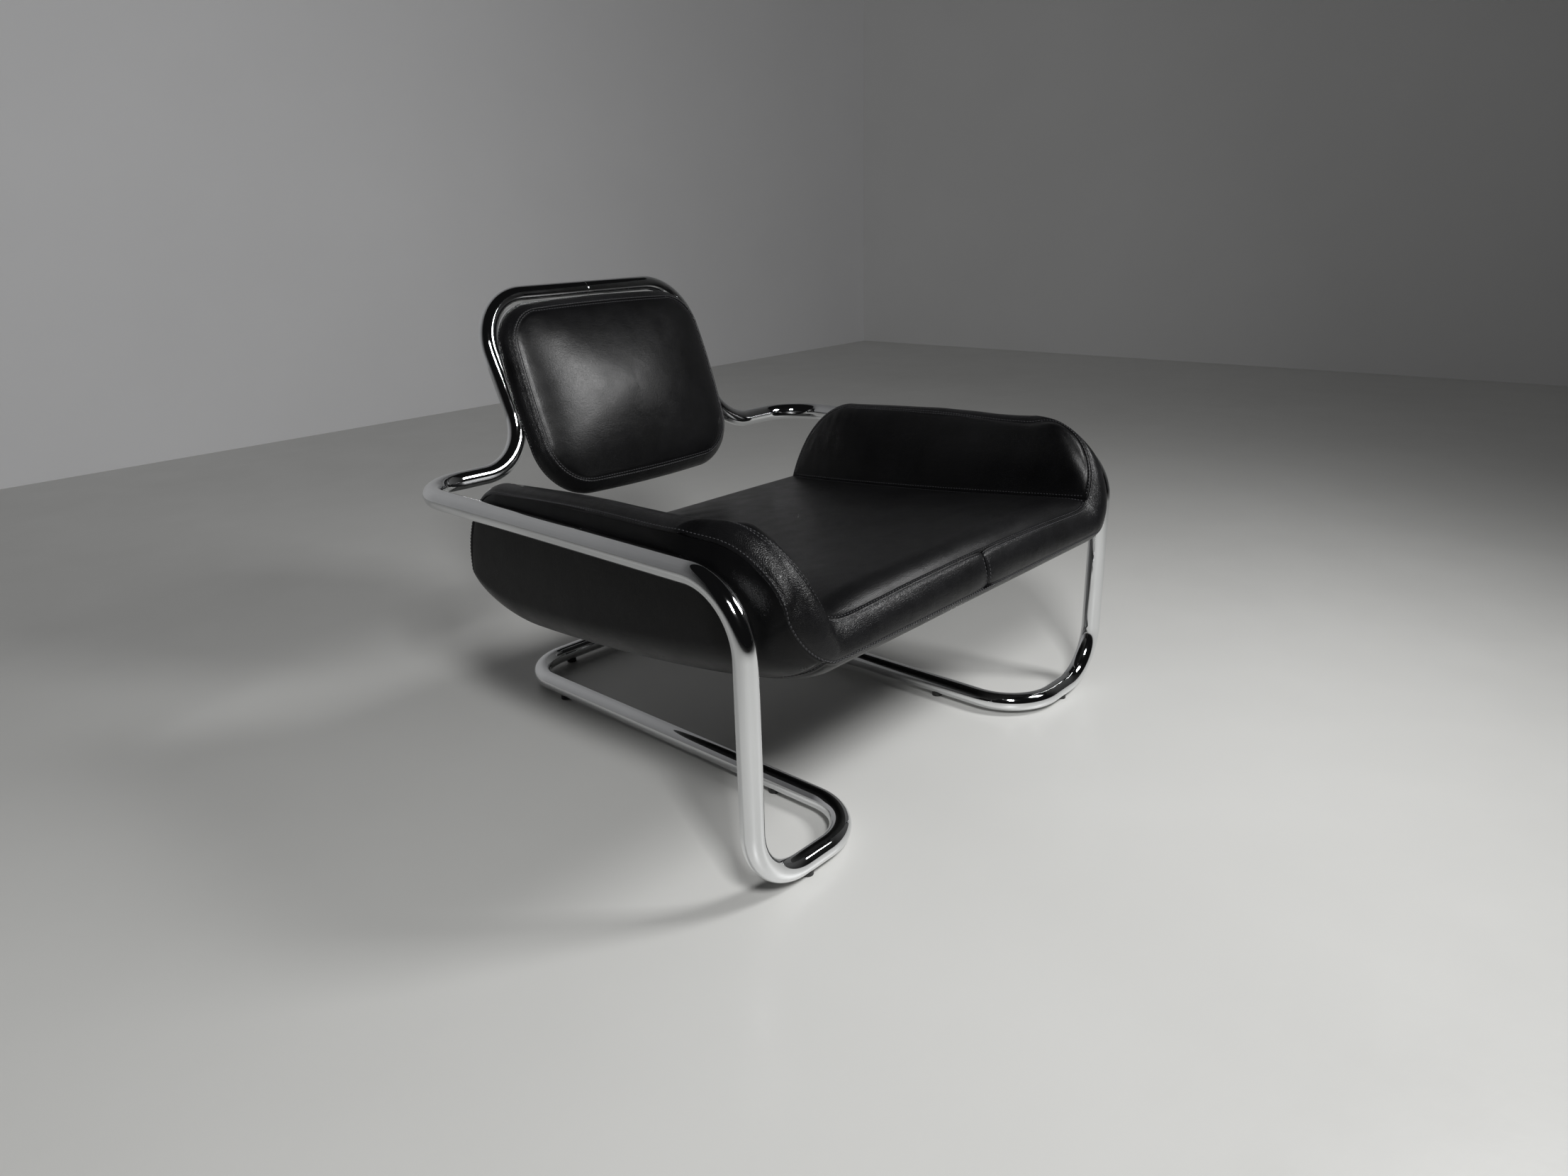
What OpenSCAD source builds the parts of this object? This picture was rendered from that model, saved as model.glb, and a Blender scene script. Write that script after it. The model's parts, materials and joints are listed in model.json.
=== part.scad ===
// Cantilever lounge chair: one bent tube loop carries an upholstered bucket seat between its arms
// and a separate back pad between the uprights of its back.
// Millimetres. The origin is on the floor, under the middle of the chair. The sitter faces -Y,
// +Z is up, and left and right are those of the sitter, so left is +X.

/* [Frame tube] */
// Outer diameter of the tube
tube_d = 28; // [24:0.5:32]
// Wall thickness of the tube
tube_wall = 2; // [1.5:0.25:3]
// Radius of every bend, on the centre line
bend_r = 80; // [66:1:88]
// Distance between the centre lines of the arms
frame_w = 797; // [780:1:860]
// Height of the arms' centre line above the floor
arm_z = 386; // [360:1:430]
// Length of the arms, from the front legs to the foot of the back
arm_l = 645; // [600:1:700]
// Length of the base, from the front legs to the rear crossbar
base_l = 737; // [690:1:800]
// How far the floor runners stand inside the arms, from centre line to centre line
runner_in = 203.5; // [180:0.5:230]
// Length of the plugs that join the two halves of the loop
plug_l = 60; // [30:1:90]
// Wall thickness of the plugs
plug_wall = 2; // [1.5:0.25:3]

/* [Back loop] */
// Lean of the back from upright, in degrees
back_lean = 20.4; // [12:0.1:28]
// Length of the back loop, from the arms to the top rail
back_l = 260; // [240:1:320]
// How far the uprights stand inside the arms at the top rail
back_in = 190; // [180:0.5:205]
// How much nearer to the middle the feet of the uprights stand
foot_in = 14; // [6:0.5:20]

/* [Back pad] */
// How far the pad hangs below the arms, along the back
pad_drop = 67; // [40:1:80]
// Space between the pad's top edge and the centre line of the top rail
pad_top_gap = 15; // [12:0.5:30]
// How far the pad's sides stay inside the centre line of the uprights, at the top rail
pad_side_in = 5; // [0:0.5:12]
// Corner radius at the top of the pad
pad_top_r = 74; // [55:1:90]
// Corner radius at the bottom of the pad
pad_foot_r = 90; // [70:1:110]
// Depth of the sewn band between the pad's rear seam and its front seam
pad_band_d = 26; // [20:0.5:34]
// How far the band draws in towards the front seam
pad_taper = 16; // [8:0.5:22]
// Crown of the pad's front over its seam
pad_crown = 15; // [6:0.5:24]
// Thickness of the pad's plywood board
back_board_t = 10; // [8:0.5:14]

/* [Seat] */
// How far the seat's front seam lies ahead of the front legs
seat_overhang = 33; // [20:1:50]
// Depth of the seat along its upper seams
seat_d = 587; // [540:1:630]
// Gap between the seat's sides and the arms
side_gap = 2.5; // [1.5:0.5:5]
// Thickness of the wings at their base seam
wing_t = 82; // [70:1:95]
// Thickness of the wings at their top
wing_top_t = 38; // [32:1:48]
// Drop of the pan's front below the arms' centre line
pan_drop_front = 50; // [40:1:70]
// Drop of the pan's rear below the arms' centre line
pan_drop_rear = 98; // [85:1:115]
// Rise of the wings' front top seam over the arms' centre line
wing_rise_front = 51; // [40:1:65]
// Rise of the wings' rear top seam over the arms' centre line
wing_rise_rear = 27; // [20:1:40]
// Radius of the wings' front corner, seen from the side
wing_front_r = 106; // [85:1:125]
// Radius of the wings' rear corner, seen from the side
wing_rear_r = 95; // [75:1:120]
// Thickness of the seat at its front edge
front_edge_t = 55; // [45:1:65]
// Thickness of the seat at its thickest, towards the rear
pan_t = 85; // [76:1:94]
// Height of the rounded corner between the seat's side and its underside
under_corner_h = 61; // [52:1:72]
// How far the wings' front edge draws back from its foot to its top, on the outside
wing_out_r = 168; // [150:1:180]
// How far the seat's front corners are rounded back, seen from above
nose_in = 24; // [10:1:28]
// How far the pan's front seam dips towards its corners
corner_dip = 12; // [0:1:16]

/* [Upholstery] */
// Thickness of the moulded seat shell
shell_t = 9; // [6:0.5:12]
// Thickness of the padding on the shell's outside
cover_t = 12; // [8:0.5:16]
// Depth of a sewn seam
seam_h = 2.6; // [1:0.2:4]
// Gap between two soft pieces
soft_gap = 0.3; // [0.2:0.05:0.5]
// Crown of the seat panel over its seams
pan_crown = 9; // [2:0.5:14]
// Crown of the wing panels over their seams
wing_crown = 6; // [2:0.5:10]
// Thickness of the leather on the rear of the back pad
leather_t = 2; // [1:0.25:3]

/* [Fixings] */
// Diameter of the seat bolts and back screws
bolt_d = 6; // [5:0.5:8]
// Clearance of a bolt or screw in its hole, on the diameter
bolt_fit = 0.6; // [0.4:0.1:1]
// Diameter of the threaded inserts in the seat shell
insert_d = 12; // [10:0.5:14]
// Distance from the front legs to the front seat bolt
seat_bolt_y = 109; // [95:1:130]
// Distance between the two seat bolts of a side
seat_bolt_pitch = 173; // [150:1:220]
// Diameter of the spacer between arm and seat
spacer_d = 16; // [14:0.5:18]
// Width of the steel tabs on the uprights
tab_w = 25; // [20:1:32]
// Thickness of the steel tabs
tab_t = 3; // [2:0.5:4]
// Reach of the tabs inwards from the uprights' centre line
tab_reach = 44; // [38:1:55]
// Distance of the tabs from the bends of the uprights
tab_inset = 5; // [2:0.5:10]

/* [Glides] */
// Height of a glide under the tube
glide_h = 5; // [3:0.5:8]
// Diameter of a glide
glide_d = 16; // [12:0.5:20]
// Diameter of a glide's peg
peg_d = 5; // [4:0.5:6]
// How far a peg reaches into the tube past its wall
peg_over = 2; // [1:0.5:4]
// Distance of the front glides inwards from the front legs
glide_front_in = 89; // [86:1:100]
// Distance of the runners' front glides behind the front legs
glide_runner_front = 158; // [120:1:200]
// Distance of the runners' rear glides ahead of the rear crossbar
glide_runner_rear = 117; // [100:1:150]
// Place of the rear glides, as a share of the way from the crossbar's plug to its bend
glide_rear_share = 0.765; // [0.4:0.005:0.9]

/* [Hidden] */

chrome_c = [0.80, 0.82, 0.84];
leather_c = [0.075, 0.075, 0.082];
wood_c = [0.72, 0.55, 0.36];
steel_c = [0.55, 0.56, 0.58];
rubber_c = [0.05, 0.05, 0.05];

// Facets of the tube and of small round parts
tube_fn = 64;
small_fn = 32;
// Overrun of a cut past the face it opens
over = 1;
// Clearance between rigid pieces that seat in or on each other
seat_fit = 0.15;

// Vector helpers
function unit(v) = v / norm(v);
function mix(a, b, k) = a + (b - a) * k;

// The tube loop lies on a grid, so that its stretches meet end to end.
grid = 0.001;
function on_grid(v) = round(v / grid) * grid;

// The front leg line, y_leg, is placed so that the whole chair is centred on the origin.
tube_r = tube_d / 2;
base_z = glide_h + tube_r;
runner_w = frame_w - 2 * runner_in;
back_top_w = frame_w - 2 * back_in;
back_foot_w = back_top_w - 2 * foot_in;
// The seat's edge band is crowned; band_front is how far its crown stands ahead of its upper seam.
band_lean_share = 0.25;
band_crown_share = 0.17;
band_k_share = [0, 0.07, 0.2, 0.4, 0.6, 0.8, 0.93, 1];
band_slope = front_edge_t * band_lean_share;
function band_bulge(k, w) = w * band_crown_share * (1 - pow(abs(2 * k - 1), 2.2));
band_front = soft_gap + max([for (k = band_k_share)
    band_slope * k + band_bulge(k, norm([band_slope, front_edge_t]))]);
y_leg = on_grid((seat_overhang + band_front - base_l - tube_r) / 2);
y_foot = y_leg + arm_l;
y_rear = y_leg + base_l;

// A point of the back, s along its lean from the arms and t ahead of the uprights
function back_pt(s, t = 0) = [
    0,
    y_foot + s * sin(back_lean) - t * cos(back_lean),
    arm_z + s * cos(back_lean) + t * sin(back_lean)
];
back_top = back_pt(back_l);

// Corners of a side of the loop, from the foot of the back to the middle of the rear crossbar
side_pts = [
    [back_foot_w / 2, y_foot, arm_z],
    [frame_w / 2, y_foot, arm_z],
    [frame_w / 2, y_leg, arm_z],
    [frame_w / 2, y_leg, base_z],
    [runner_w / 2, y_leg, base_z],
    [runner_w / 2, y_rear, base_z],
    [0, y_rear, base_z]
];

// Bent tube
function dir(p, i) = unit(p[i + 1] - p[i]);
function turn(p, i) = acos(dir(p, i - 1) * dir(p, i));
function cutback(p, i) = (i == 0 || i == len(p) - 1) ? 0 : bend_r * tan(turn(p, i) / 2);

module placed(x, y, z, at) {
    multmatrix([
        [x[0], y[0], z[0], at[0]],
        [x[1], y[1], z[1], at[1]],
        [x[2], y[2], z[2], at[2]],
        [0, 0, 0, 1]
    ]) children();
}

module ring_section() {
    difference() {
        circle(d = tube_d, $fn = tube_fn);
        circle(d = tube_d - 2 * tube_wall, $fn = tube_fn);
    }
}

module tube_straight(p, i) {
    d = dir(p, i);
    a = p[i] + d * cutback(p, i);
    b = p[i + 1] - d * cutback(p, i + 1);
    side = abs(d[2]) > abs(d[0]) ? [1, 0, 0] : [0, 0, 1];
    x = unit(cross(side, d));
    placed(x, cross(d, x), d, a) linear_extrude(height = norm(b - a)) ring_section();
}

module tube_bend(p, i) {
    d1 = dir(p, i - 1);
    d2 = dir(p, i);
    inward = unit(d2 - d1 * (d1 * d2));
    centre = p[i] - d1 * cutback(p, i) + inward * bend_r;
    placed(-inward, d1, cross(-inward, d1), centre) bend_here(turn(p, i));
}

module bend_here(a) {
    rotate_extrude(angle = a, $fn = tube_fn) translate([bend_r, 0]) ring_section();
}

// In the frame of the lean, x runs across, s up along the back and t ahead of the uprights.
module in_back() {
    translate([0, y_foot, arm_z]) rotate([90 - back_lean, 0, 0]) children();
}

// The uprights spread a little upwards; their bends turn by this more than a right angle.
spread = atan((back_top_w - back_foot_w) / 2 / back_l);
hoop_turn = 90 + spread;
hoop_cut = bend_r * tan(hoop_turn / 2);
foot_run_x = on_grid(back_foot_w / 2 + hoop_cut);
rail_end_x = on_grid(back_top_w / 2 - hoop_cut);
upright_dir = [sin(spread), cos(spread), 0];

// Foot of the back: the short run along the arm's rear corner and the bend up into the upright
module foot_tube() {
    in_back() union() {
        translate([foot_run_x, 0, 0]) rotate([0, 90, 0])
            linear_extrude(height = frame_w / 2 - bend_r - foot_run_x) ring_section();
        translate([foot_run_x, bend_r, 0]) rotate([180, 0, -90]) bend_here(hoop_turn);
    }
}

// Arm, front leg, floor runner and half of the rear crossbar
module side_tube() {
    union() {
        for (i = [1 : len(side_pts) - 2]) tube_straight(side_pts, i);
        for (i = [1 : len(side_pts) - 2]) tube_bend(side_pts, i);
    }
}

// Peg holes in the tube's underside, at the glides
glide_at = [
    [frame_w / 2 - glide_front_in, y_leg],
    [runner_w / 2, y_leg + glide_runner_front],
    [runner_w / 2, y_rear - glide_runner_rear],
    [mix(plug_l / 2, runner_w / 2 - bend_r, glide_rear_share), y_rear]
];
peg_hole_d = peg_d + 2 * seat_fit;

module peg_hole(k) {
    translate([glide_at[k][0], glide_at[k][1], glide_h - over])
        cylinder(d = peg_hole_d, h = tube_r + over, $fn = small_fn);
}

// Bolt holes in the arm's inner wall
bolt_hole_d = bolt_d + bolt_fit;
seat_bolt_ys = [y_leg + seat_bolt_y, y_leg + seat_bolt_y + seat_bolt_pitch];

module along_x(x, y, z) {
    translate([x, y, z]) rotate([0, 90, 0]) children();
}

module side_loop_left() {
    color(chrome_c) difference() {
        union() {
            side_tube();
            foot_tube();
        }
        for (k = [0 : len(glide_at) - 1]) peg_hole(k);
        for (y = seat_bolt_ys)
            along_x(frame_w / 2 - tube_r - over, y, arm_z)
                cylinder(d = bolt_hole_d, h = tube_r + over, $fn = small_fn);
    }
}

module side_loop_right() {
    mirror([1, 0, 0]) side_loop_left();
}

// Upright of the back loop, between its two bends
module upright_left() {
    d = upright_dir;
    start = [back_foot_w / 2, 0, 0] + d * hoop_cut;
    rise = back_l / cos(spread) - 2 * hoop_cut;
    color(chrome_c) in_back() placed([cos(spread), -sin(spread), 0], [0, 0, -1], d, start)
        linear_extrude(height = rise) ring_section();
}

module upright_right() {
    mirror([1, 0, 0]) upright_left();
}

// Half of the top rail, with its bend down into the upright
module top_rail_left() {
    color(chrome_c) in_back() union() {
        translate([0, back_l, 0]) rotate([0, 90, 0])
            linear_extrude(height = rail_end_x) ring_section();
        translate([rail_end_x, back_l - bend_r, 0]) rotate([180, 0, 90]) bend_here(hoop_turn);
    }
}

module top_rail_right() {
    mirror([1, 0, 0]) top_rail_left();
}

// Hollow plugs inside the butt joints, in the middle of the top rail and of the crossbar
module joint_plug(y, z) {
    color(steel_c) along_x(-plug_l / 2, y, z) difference() {
        cylinder(d = tube_d - 2 * tube_wall - 2 * seat_fit, h = plug_l, $fn = tube_fn);
        translate([0, 0, -over])
            cylinder(d = tube_d - 2 * tube_wall - 2 * seat_fit - 2 * plug_wall,
                     h = plug_l + 2 * over, $fn = tube_fn);
    }
}

module top_joint_plug() { joint_plug(back_top[1], back_top[2]); }
module base_joint_plug() { joint_plug(y_rear, base_z); }

// A glide is a flat puck saddled under the tube, with a peg in the tube's wall.
glide_rise = tube_r - sqrt(pow(tube_r, 2) - pow(glide_d / 2, 2));

module glide(k, runs_x) {
    at = glide_at[k];
    color(rubber_c) translate([at[0], at[1], 0]) union() {
        difference() {
            cylinder(d = glide_d, h = glide_h + glide_rise, $fn = small_fn);
            translate([0, 0, base_z]) rotate([90, 0, runs_x ? 90 : 0])
                cylinder(r = tube_r + seat_fit, h = 2 * glide_d, center = true, $fn = tube_fn);
        }
        cylinder(d = peg_d, h = glide_h + tube_wall + peg_over, $fn = small_fn);
    }
}

module front_glide_left() { glide(0, true); }
module runner_front_glide_left() { glide(1, false); }
module runner_rear_glide_left() { glide(2, false); }
module rear_glide_left() { glide(3, true); }
module front_glide_right() { mirror([1, 0, 0]) glide(0, true); }
module runner_front_glide_right() { mirror([1, 0, 0]) glide(1, false); }
module runner_rear_glide_right() { mirror([1, 0, 0]) glide(2, false); }
module rear_glide_right() { mirror([1, 0, 0]) glide(3, true); }

// Seat body. It is a bent slab: m runs from -2 to 2 across it, with the pan between -1 and 1 and
// the wings beyond, and t runs from 0 at its front edge to 1 at its rear edge.
seat_x = frame_w / 2 - tube_r - side_gap;
base_x = seat_x - wing_t;
y_in_front = y_leg - seat_overhang;
y_in_rear = y_in_front + seat_d;
y_out_front = y_in_front - band_slope;
pan_front_z = arm_z - pan_drop_front;
pan_rear_z = arm_z - pan_drop_rear;
in_top_front_z = arm_z + wing_rise_front;
in_top_rear_z = arm_z + wing_rise_rear;

// Shares that shape the slab, chosen by eye
front_bow_share = 0.01;
pan_fall_share = 1.3;
under_fall_share = 2.15;
under_roll_share = 0.3;
under_roll_power_share = 20;
nose_along_share = 0.17;
wing_out_power_share = 1.39;
corner_back_share = 0.03;
rear_lift_share = 0.28;
rear_lift_from_share = 0.82;
rear_under_share = 0.04;
side_rear_share = 0.022;
out_top_front_share = 0.14;
out_top_rear_share = 0.19;
corner_share = 0.35;
corner_full_share = 1.13;
side_seam_share = 0.1;
crown_power_share = 3;
// Parts of the slab's length and of the wings' rise that the edge band takes up inside
band_in_share = 0.022;
band_in_wing_share = 0.77;

front_bow = seat_d * front_bow_share;
under_low_z = pan_rear_z - pan_t;
under_front_z = pan_front_z - front_edge_t;
y_out_rear = y_in_rear - seat_d * rear_under_share;
y_side_rear = y_in_rear - seat_d * side_rear_share;
y_fc = y_in_front + front_bow + wing_front_r;
y_out_fc = y_out_front + wing_out_r;
corner_back = wing_front_r * corner_back_share;
y_rc = y_in_rear - wing_rear_r;
out_top_front_z = in_top_front_z - wing_rise_front * out_top_front_share;
out_top_rear_z = in_top_rear_z - wing_rise_rear * out_top_rear_share;

function dip(m) = corner_dip * pow(m, 2) * (1 - pow(m, 22));
function pan_z(t, m = 1) = mix(pan_rear_z, pan_front_z - dip(m), pow(1 - t, pan_fall_share));
function in_top_z(t) = mix(in_top_front_z, in_top_rear_z, t);
function out_top_z(t) = mix(out_top_front_z, out_top_rear_z, t);
function rear_lift(t) =
    pan_t * rear_lift_share * pow(max(0, t - rear_lift_from_share) / (1 - rear_lift_from_share), 2);
function under_z(t) =
    mix(under_low_z, under_front_z,
        mix(pow(1 - t, under_fall_share), pow(1 - t, under_roll_power_share), under_roll_share))
    + rear_lift(t);
// How much of the front corners' rounding is left at t, and how far the inner seam is drawn back
// where the pan meets a wing
function nose(t) = nose_in * pow(max(0, 1 - t / nose_along_share), 2);
function pan_back(m) = front_bow * pow(m, 2) + corner_back * pow(m, 20);
function corner_z(t) = under_z(t) + under_corner_h;

// Inner surface of the slab, without its crown
function inner_half(m, t) =
    m <= 1
    ? [m * base_x, mix(y_in_front + pan_back(m), y_in_rear, t), pan_z(t, m)]
    : let (f = 90 * (m - 1), back = corner_back * pow(1 - sin(f), 4))
      [base_x + (wing_t - wing_top_t) * sin(f),
       mix(y_fc - wing_front_r * cos(f) + back, y_rc + wing_rear_r * cos(f), t),
       mix(pan_z(t), in_top_z(t), sin(f))];

// Outer surface of the slab: underside, rounded corner, side
function outer_half(m, t) =
    m <= 1
    ? [m * base_x, mix(y_out_front, y_out_rear, t), under_z(t)]
    : m <= 1 + corner_share
    ? let (c = 90 * (m - 1) / corner_share, full = pow(max(0, cos(c)), corner_full_share))
      [base_x + (wing_t - nose(t)) * pow(max(0, sin(c)), corner_full_share),
       mix(y_out_front + nose_in * (1 - full), mix(y_side_rear, y_out_rear, cos(c)), t),
       corner_z(t) - under_corner_h * full]
    : let (f = 90 * (m - 1 - corner_share) / (1 - corner_share),
           forward = (wing_out_r - nose_in) * pow(max(0, cos(f)), wing_out_power_share))
      [seat_x - nose(t) * cos(f),
       mix(y_out_fc - forward, y_rc + (y_side_rear - y_rc) * cos(f), t),
       mix(corner_z(t), out_top_z(t), sin(f))];

function flip(p, s) = [p[0] * s, p[1], p[2]];
function inner(m, t) = flip(inner_half(abs(m), t), m < 0 ? -1 : 1);
function outer(m, t) = flip(outer_half(abs(m), t), m < 0 ? -1 : 1);

// A point d inside the outer surface, on the line to the inner surface
function layer(m, t, d) = let (o = outer(m, t), i = inner(m, t)) o + unit(i - o) * d;

// The inner layers end where the edge band begins: these turn a full place into an inset one.
function in_m(m) = abs(m) <= 1 ? m : sign(m) * (1 + (abs(m) - 1) * band_in_wing_share);
function in_t(t) = mix(band_in_share, 1 - band_in_share, t);

// Gap between two panels side by side, as a share of the slab's width
gap_m_share = soft_gap / (wing_rise_front + pan_drop_front);

foam_d = cover_t + shell_t;
// Stations across and along the slab. Every piece uses the same ones, so that the pieces' flat
// facets follow each other; only a piece's own ends are drawn back by the gap.
pan_m_share = [0, 0.3, 0.6, 0.86, 0.965];
wing_m_share = [0.05, side_seam_share, 0.16, 0.25, 0.35, 0.5, 0.65, 0.8, 0.93];
along_t_share = [0, 0.022, 0.07, 0.17, 0.32, 0.5, 0.68, 0.83, 0.93, 0.978, 1];

function reversed(s, sign = 1) = [for (k = [len(s) - 1 : -1 : 0]) sign * s[k]];
wing_inner_ms = [for (q = wing_m_share) 1 + q];
side_ms = concat([1 + side_seam_share + gap_m_share],
                 [for (q = wing_m_share) if (q > side_seam_share) 1 + q], [2]);
wing_ms = concat([1 + gap_m_share], wing_inner_ms, [2]);
pan_half_ms = concat([for (q = pan_m_share) if (q > 0) q], [1 - gap_m_share]);
pan_ms = concat(reversed(pan_half_ms, -1), [0], pan_half_ms);
shell_half_ms = concat([for (q = pan_m_share) if (q > 0) q], [1], wing_inner_ms, [2]);
shell_ms = concat(reversed(shell_half_ms, -1), [0], shell_half_ms);
bottom_half_ms = concat([for (m = shell_half_ms) if (m < 1 + side_seam_share) m],
                        [1 + side_seam_share - gap_m_share]);
bottom_ms = concat(reversed(bottom_half_ms, -1), [0], bottom_half_ms);

// Closed solid between two grids of points with the same stations. The first half_nu rows are
// those of the right side; their facets mirror those of the left.
function two(p, q, r, s, mirrored) = mirrored ? [[p, q, r], [p, r, s]] : [[p, q, s], [q, r, s]];
function grid_faces(nu, nv, half_nu) =
    let (n = nu * nv)
    [
        for (u = [0 : nu - 2], v = [0 : nv - 2])
            let (a = u * nv + v, b = a + 1, c = a + nv, d = c + 1, w = u < half_nu)
            each concat(two(a, c, d, b, w), two(n + a, n + b, n + d, n + c, w)),
        for (u = [0 : nu - 2])
            let (a = u * nv, c = a + nv, e = a + nv - 1, f = e + nv, w = u < half_nu)
            each concat(two(a, n + a, n + c, c, w), two(e, f, n + f, n + e, w)),
        for (v = [0 : nv - 2])
            let (a = v, b = v + 1, c = (nu - 1) * nv + v, d = c + 1)
            each concat(two(a, b, n + b, n + a, false), two(c, n + c, n + d, d, false))
    ];

module grid_solid(top, bottom, ms) {
    nu = len(ms);
    polyhedron(points = concat(top, bottom), convexity = 6,
               faces = grid_faces(nu, len(top) / nu, ms[0] < 0 ? (nu - 1) / 2 : 0));
}

// Share of the crown at place q of a panel that runs from 0 to 1
function dome(q) = 1 - pow(abs(2 * q - 1), crown_power_share);
// Points on the edge of a panel are drawn down along the mitre by the seam's depth.
function drawn(a, b) = a + unit(b - a) * seam_h;
function on_edge(i, n) = i == 0 || i == n - 1;

// A padded panel on the inside of the slab, over stations ms, with a crown
module inner_panel(ms, crown) {
    nu = len(ms);
    nv = len(along_t_share);
    m0 = ms[0];
    m1 = ms[nu - 1];
    low = [for (i = [0 : nu - 1], j = [0 : nv - 1])
        layer(in_m(ms[i]), in_t(along_t_share[j]), foam_d + soft_gap)];
    top = [for (i = [0 : nu - 1], j = [0 : nv - 1])
        let (m = ms[i], t = along_t_share[j], p = inner(m, t), o = outer(m, t),
             q = (m - m0) / (m1 - m0))
        (on_edge(i, nu) || on_edge(j, nv))
        ? drawn(p, low[i * nv + j])
        : p + unit(p - o) * crown * dome(q) * dome(t)];
    grid_solid(top, low, ms);
}

// The same on the outside, flat on the shell
module outer_panel(ms) {
    nu = len(ms);
    nv = len(along_t_share);
    high = [for (i = [0 : nu - 1], j = [0 : nv - 1])
        layer(in_m(ms[i]), in_t(along_t_share[j]), cover_t - soft_gap)];
    low = [for (i = [0 : nu - 1], j = [0 : nv - 1])
        let (p = outer(ms[i], along_t_share[j]))
        (on_edge(i, nu) || on_edge(j, nv)) ? drawn(p, high[i * nv + j]) : p];
    grid_solid(high, low, ms);
}

module seat_panel() {
    color(leather_c) inner_panel(pan_ms, pan_crown);
}

module wing_panel_left() {
    color(leather_c) inner_panel(wing_ms, wing_crown);
}

module wing_panel_right() {
    mirror([1, 0, 0]) wing_panel_left();
}

// Moulded shell that the panels are sewn over
module slab_shell() {
    nu = len(shell_ms);
    nv = len(along_t_share);
    function sheet(d) = [for (i = [0 : nu - 1], j = [0 : nv - 1])
        layer(in_m(shell_ms[i]), in_t(along_t_share[j]), d)];
    grid_solid(sheet(foam_d), sheet(cover_t), shell_ms);
}

module insert_holes() {
    for (s = [-1, 1], y = seat_bolt_ys)
        along_x(s * seat_x, y, arm_z)
            cylinder(d = insert_d + 2 * seat_fit, h = 2 * (foam_d + over), center = true,
                     $fn = small_fn);
}

module seat_shell() {
    color(wood_c) difference() {
        slab_shell();
        insert_holes();
    }
}

module seat_bottom_cover() {
    color(leather_c) outer_panel(bottom_ms);
}

module side_panel_left() {
    color(leather_c) difference() {
        outer_panel(side_ms);
        insert_holes();
    }
}

module side_panel_right() {
    mirror([1, 0, 0]) side_panel_left();
}

// Edge band: a sewn strip round the slab, from the seam at the middle of the front, up and over a
// wing and down to the seam at the middle of the rear. Its section is a crowned trapezoid.
band_mid_share = 0.02;
band_cross_m = concat([0, band_mid_share], shell_half_ms);
band_wing_share = 0.35;
function band_full(m) = m <= 1 ? 1 : 1 - band_wing_share * sin(180 * (m - 1));
function band_out(m) = m <= 1 ? [0, -1, 0] : [0, -cos(90 * (m - 1)), sin(90 * (m - 1))];

function band_ring(m, t, out, pull, full = 1) =
    let (clear = out * soft_gap, a = inner(m, t) + clear, b = outer(m, t) + clear,
         ai = layer(in_m(m), in_t(t), foam_d) + clear,
         bi = layer(in_m(m), in_t(t), cover_t) + clear,
         a0 = drawn(a, ai), b0 = drawn(b, bi), w = norm(b - a), n = len(band_k_share))
    concat(
        [a0],
        [for (k = [1 : n - 2]) mix(a, b, band_k_share[k])
            + out * (band_bulge(band_k_share[k], w) * full - pull)],
        [b0, bi, ai]
    );

band_rings = concat(
    [for (i = [0 : len(band_cross_m) - 1])
        band_ring(max(band_cross_m[i], gap_m_share), 0, band_out(band_cross_m[i]),
                  i == 0 ? seam_h : 0, band_full(band_cross_m[i]))],
    [for (j = [1 : len(along_t_share) - 1]) band_ring(2, along_t_share[j], [0, 0, 1], 0)],
    [for (i = [len(band_cross_m) - 2 : -1 : 0])
        let (n = band_out(band_cross_m[i]))
        band_ring(max(band_cross_m[i], gap_m_share), 1, [0, -n[1], n[2]], i == 0 ? seam_h : 0)]
);

// Closed solid swept through rings of points, with flat ends. Up to ring turn_at the facets are
// split the other way, as those of the panels beside them are.
module ring_solid(rings, turn_at = 0) {
    n = len(rings[0]);
    last = (len(rings) - 1) * n;
    polyhedron(
        points = [for (r = rings, p = r) p],
        faces = concat(
            [for (i = [0 : len(rings) - 2], j = [0 : n - 1])
                let (a = i * n + j, b = i * n + (j + 1) % n, c = a + n, d = b + n)
                each i < turn_at ? [[a, b, d], [a, d, c]] : [[a, b, c], [b, d, c]]],
            [for (j = [1 : n - 2]) [0, j + 1, j]],
            [for (j = [1 : n - 2]) [last, last + j, last + j + 1]]
        ),
        convexity = 8
    );
}

module edge_band_left() {
    color(leather_c) ring_solid(band_rings, len(band_cross_m) + len(along_t_share) - 2);
}

module edge_band_right() {
    mirror([1, 0, 0]) edge_band_left();
}

// Seat fixings: a bolt in each hole of the arm's inner wall, through a spacer into an insert.
insert_reach_share = 0.75;
insert_in_x = seat_x - cover_t - shell_t * insert_reach_share;
bolt_in_x = insert_in_x + seat_fit;
bolt_head_h = bolt_d / 2;
bolt_head_d = 2 * bolt_d;

module seat_bolts() {
    inner_wall_x = frame_w / 2 - sqrt(pow(tube_r - tube_wall, 2) - pow(bolt_head_d / 2, 2));
    color(steel_c) for (s = [0, 1], y = seat_bolt_ys) mirror([s, 0, 0]) union() {
        along_x(bolt_in_x, y, arm_z)
            cylinder(d = bolt_d, h = inner_wall_x - bolt_in_x + bolt_head_h, $fn = small_fn);
        along_x(inner_wall_x + seat_fit, y, arm_z)
            cylinder(d = bolt_head_d, h = bolt_head_h, $fn = small_fn);
    }
}

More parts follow.
